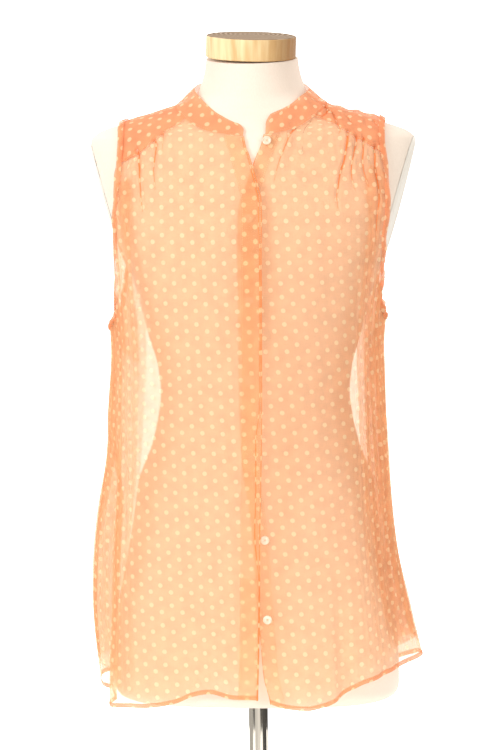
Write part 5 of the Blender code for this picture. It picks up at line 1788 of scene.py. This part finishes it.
def make_form(material):
    """Fine loft of the form's sections, flattened where the arm plates close it."""
    heights = np.array(sorted(set(np.round(np.arange(0, FORM_SECTIONS[-1].height, 4.0), 1))
                              | {row.height for row in FORM_SECTIONS} | {1.0, 2.5, 6.0, 9.0})) * MM
    turns = np.arange(FORM_SIDES) * 2 * math.pi / FORM_SIDES
    rows = []
    for height in heights:
        width = FORM["left"](height)
        depth = np.where(np.cos(turns) > 0, FORM["front"](height), FORM["back"](height))
        angle = np.arctan2(width * np.sin(turns), depth * np.cos(turns))
        rows.append(ring_point(FORM, angle, height))
    points = np.array(rows)
    for plate in ARM_PLATES.values():
        above = points[..., 2] - FORM_UNDERSIDE
        lean = math.tan(plate.lean)
        turn = math.tan(ARM_PLATE_TURN)
        flat = plate.out + (above - ARM_PLATE_HEIGHT) * lean
        flat = flat + points[..., 1] * turn
        reach = points[..., 0] * plate.side
        cut = (above > ARM_PLATE_LOW) & (reach > flat)
        points[..., 0] = np.where(cut, flat * plate.side, points[..., 0])
    count, sides, _ = points.shape
    faces = grid_faces(count, sides, closed=True)
    faces.append(tuple(range(sides))[::-1])
    faces.append(tuple(range((count - 1) * sides, count * sides)))
    piece = mesh_piece("form_cover", points.reshape(-1, 3), faces, material, "form_jersey",
                       "form_torso")
    piece.data.set_sharp_from_angle(angle=math.radians(40))
    return piece


# ---------------------------------------------------------------- camera, light and floor

CAMERA_DISTANCE = 3.60
CAMERA_TURN = math.radians(4.2)
CAMERA_HEIGHT = FORM_UNDERSIDE + 0.775
CAMERA_PITCH = math.radians(6.1207)
CAMERA_YAW = math.radians(0.0979)
CAMERA_ROLL = math.radians(0.5491)
CAMERA_LENS = 144


def make_camera():
    a = CAMERA_TURN
    place = Vector((CAMERA_DISTANCE * math.sin(a), -CAMERA_DISTANCE * math.cos(a), CAMERA_HEIGHT))
    ahead = Vector((-math.sin(a), math.cos(a), 0))
    beside = Vector((math.cos(a), math.sin(a), 0))
    level = ahead * math.cos(CAMERA_YAW) - beside * math.sin(CAMERA_YAW)
    across = level.cross(Vector((0, 0, 1))).normalized()
    forward = level * math.cos(CAMERA_PITCH) - Vector((0, 0, 1)) * math.sin(CAMERA_PITCH)
    up = across.cross(forward)
    right = across * math.cos(CAMERA_ROLL) - up * math.sin(CAMERA_ROLL)
    top = up * math.cos(CAMERA_ROLL) + across * math.sin(CAMERA_ROLL)
    data = bpy.data.cameras.new("camera")
    data.lens = CAMERA_LENS
    data.sensor_width = 36
    camera = bpy.data.objects.new("camera", data)
    turn = Matrix((right, top, -forward)).transposed().to_4x4()
    camera.matrix_world = Matrix.Translation(place) @ turn
    bpy.context.scene.collection.objects.link(camera)
    bpy.context.scene.camera = camera


def soft_box(name, place, aim, size, power):
    data = bpy.data.lights.new(name, "AREA")
    data.shape = "SQUARE"
    data.size = size
    data.energy = power
    light = bpy.data.objects.new(name, data)
    light.location = place
    light.rotation_euler = (Vector(aim) - Vector(place)).to_track_quat("-Z", "Y").to_euler()
    bpy.context.scene.collection.objects.link(light)


def make_studio():
    """White sweep: a bright world behind, a little dimmer as light, and a pale floor."""
    world = bpy.data.worlds.new("studio")
    world.use_nodes = True
    bpy.context.scene.world = world
    tree = world.node_tree
    shown = tree.nodes["Background"]
    shown.inputs["Color"].default_value = (1, 1, 1, 1)
    shown.inputs["Strength"].default_value = BACKDROP_STRENGTH
    light = tree.nodes.new("ShaderNodeBackground")
    light.inputs["Color"].default_value = (1.0, 0.985, 0.96, 1)
    light.inputs["Strength"].default_value = WORLD_STRENGTH
    place = tree.nodes.new("ShaderNodeTexCoord")
    split = tree.nodes.new("ShaderNodeSeparateXYZ")
    tree.links.new(place.outputs["Generated"], split.inputs[0])
    flip = tree.nodes.new("ShaderNodeMath")
    flip.operation = "MULTIPLY"
    flip.inputs[1].default_value = -1
    tree.links.new(split.outputs[1], flip.inputs[0])
    turn = tree.nodes.new("ShaderNodeMath")
    turn.operation = "ARCTAN2"
    tree.links.new(split.outputs[0], turn.inputs[0])
    tree.links.new(flip.outputs[0], turn.inputs[1])
    share = tree.nodes.new("ShaderNodeMapRange")
    share.inputs["From Min"].default_value = -math.pi
    share.inputs["From Max"].default_value = math.pi
    tree.links.new(turn.outputs[0], share.inputs["Value"])
    ramp = tree.nodes.new("ShaderNodeValToRGB")
    stops = ramp.color_ramp.elements
    stops[0].position, stops[1].position = ROOM[0][0], ROOM[-1][0]
    for position, _ in ROOM[1:-1]:
        stops.new(position)
    for stop, (_, level) in zip(stops, ROOM):
        stop.color = (level, level * 0.98, level * 0.95, 1)
    tree.links.new(share.outputs["Result"], ramp.inputs["Fac"])
    mirrored = tree.nodes.new("ShaderNodeBackground")
    tree.links.new(ramp.outputs["Color"], mirrored.inputs["Color"])
    path = tree.nodes.new("ShaderNodeLightPath")
    inner = tree.nodes.new("ShaderNodeMixShader")
    tree.links.new(path.outputs["Is Glossy Ray"], inner.inputs["Fac"])
    tree.links.new(light.outputs[0], inner.inputs[1])
    tree.links.new(mirrored.outputs[0], inner.inputs[2])
    mix = tree.nodes.new("ShaderNodeMixShader")
    tree.links.new(path.outputs["Is Camera Ray"], mix.inputs["Fac"])
    tree.links.new(inner.outputs[0], mix.inputs[1])
    tree.links.new(shown.outputs[0], mix.inputs[2])
    tree.links.new(mix.outputs[0], tree.nodes["World Output"].inputs["Surface"])
    floor_mesh = bpy.data.meshes.new("floor")
    reach = FLOOR_REACH
    floor_mesh.from_pydata([(-reach, -reach, 0), (reach, -reach, 0), (reach, reach, 0), (-reach, reach, 0)],
                           [], [(0, 1, 2, 3)])
    g = Graph("floor_paper")
    g.shader.inputs["Base Color"].default_value = (0.93, 0.93, 0.92, 1)
    g.shader.inputs["Roughness"].default_value = 0.9
    g.shader.inputs["Emission Color"].default_value = (1, 1, 1, 1)
    g.shader.inputs["Emission Strength"].default_value = FLOOR_GLOW
    g.bump(g.noise(g.position(), 300.0, 2.0), 0.1, 0.2 * MM)
    floor_mesh.materials.append(g.material)
    floor = bpy.data.objects.new("floor", floor_mesh)
    floor.location.z = -0.5 * MM
    bpy.context.scene.collection.objects.link(floor)
    aim = (0, 0, 0.75)
    soft_box("key", (-2.0, -2.7, 2.0), aim, 1.4, KEY_POWER)
    soft_box("fill", (1.9, -2.8, 1.3), aim, 1.6, FILL_POWER)
    soft_box("back_right", (-1.8, 1.9, 1.4), aim, 1.4, BACK_POWER)
    soft_box("back_left", (1.8, 1.9, 1.4), aim, 1.4, BACK_POWER)
    soft_box("top", (0, 0.2, 2.8), aim, 1.2, TOP_POWER)
    bpy.context.scene.view_settings.view_transform = "Standard"


def main():
    make_camera()
    make_studio()
    right_cloth = chiffon("chiffon_right", 1, shear=math.tan(math.radians(DOT_LEAN_RIGHT)))
    left_cloth = chiffon("chiffon_left", 1, shear=math.tan(math.radians(DOT_LEAN_LEFT)))
    plain_cloth = chiffon("chiffon", 1)
    double_cloth = chiffon("chiffon_double", 2)
    thread = thread_material()
    fronts = make_fronts({"right": right_cloth, "left": left_cloth})
    back = make_back(plain_cloth)
    yoke = make_yoke(double_cloth)
    collar = make_collar(double_cloth)
    right_shear = math.tan(math.radians(DOT_LEAN_RIGHT))
    left_shear = math.tan(math.radians(DOT_LEAN_LEFT))
    closure = make_closure({"fly": chiffon("chiffon_fly", STRIP_LAYERS, right_shear, STRIP_COLOUR),
                            "stand": chiffon("chiffon_stand", STRIP_LAYERS, left_shear, STRIP_COLOUR),
                            # The folded edges and tucks take the deeper fold colour: painted shade in the
                            # creases.
                            "fold": chiffon("chiffon_fold_shade", FOLD_LAYERS, base=FOLD_SHADE_COLOUR),
                            "soft_fold": chiffon("chiffon_soft_fold_shade", SOFT_FOLD_LAYERS,
                                                 base=FOLD_SHADE_COLOUR)})
    tucks = make_tucks(chiffon("chiffon_tuck_shade", TUCK_LAYERS, base=FOLD_SHADE_COLOUR))
    folds = make_side_folds({"right": chiffon("chiffon_side_right", SIDE_LAYERS["right"], right_shear),
                             "arm": chiffon("chiffon_side_arm", SIDE_LAYERS["arm"], right_shear),
                             # Painted shade: the +X side layer takes the deeper side fold colour.
                             "left": chiffon("chiffon_side_left_shade", SIDE_LAYERS["left"], left_shear,
                                             SIDE_FOLD_SHADE_COLOUR)})
    hems = make_hems(double_cloth)
    bindings = [make_binding(-1, "right", double_cloth), make_binding(1, "left", double_cloth)]
    seams = make_seams(chiffon("chiffon_allowance", ALLOWANCE_LAYERS))
    make_stitching(thread)
    make_buttons(button_material(), thread)
    make_form(jersey_material())
    plate = plate_material()
    for node, made in (("arm_plate_right", plate), ("arm_plate_left", plate),
                       ("neck_cap", wood_material()), ("stand_pole", steel_material()),
                       ("stand_base", paint_material())):
        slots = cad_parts[node].material_slots
        for slot in slots:
            slot.material = made


main()
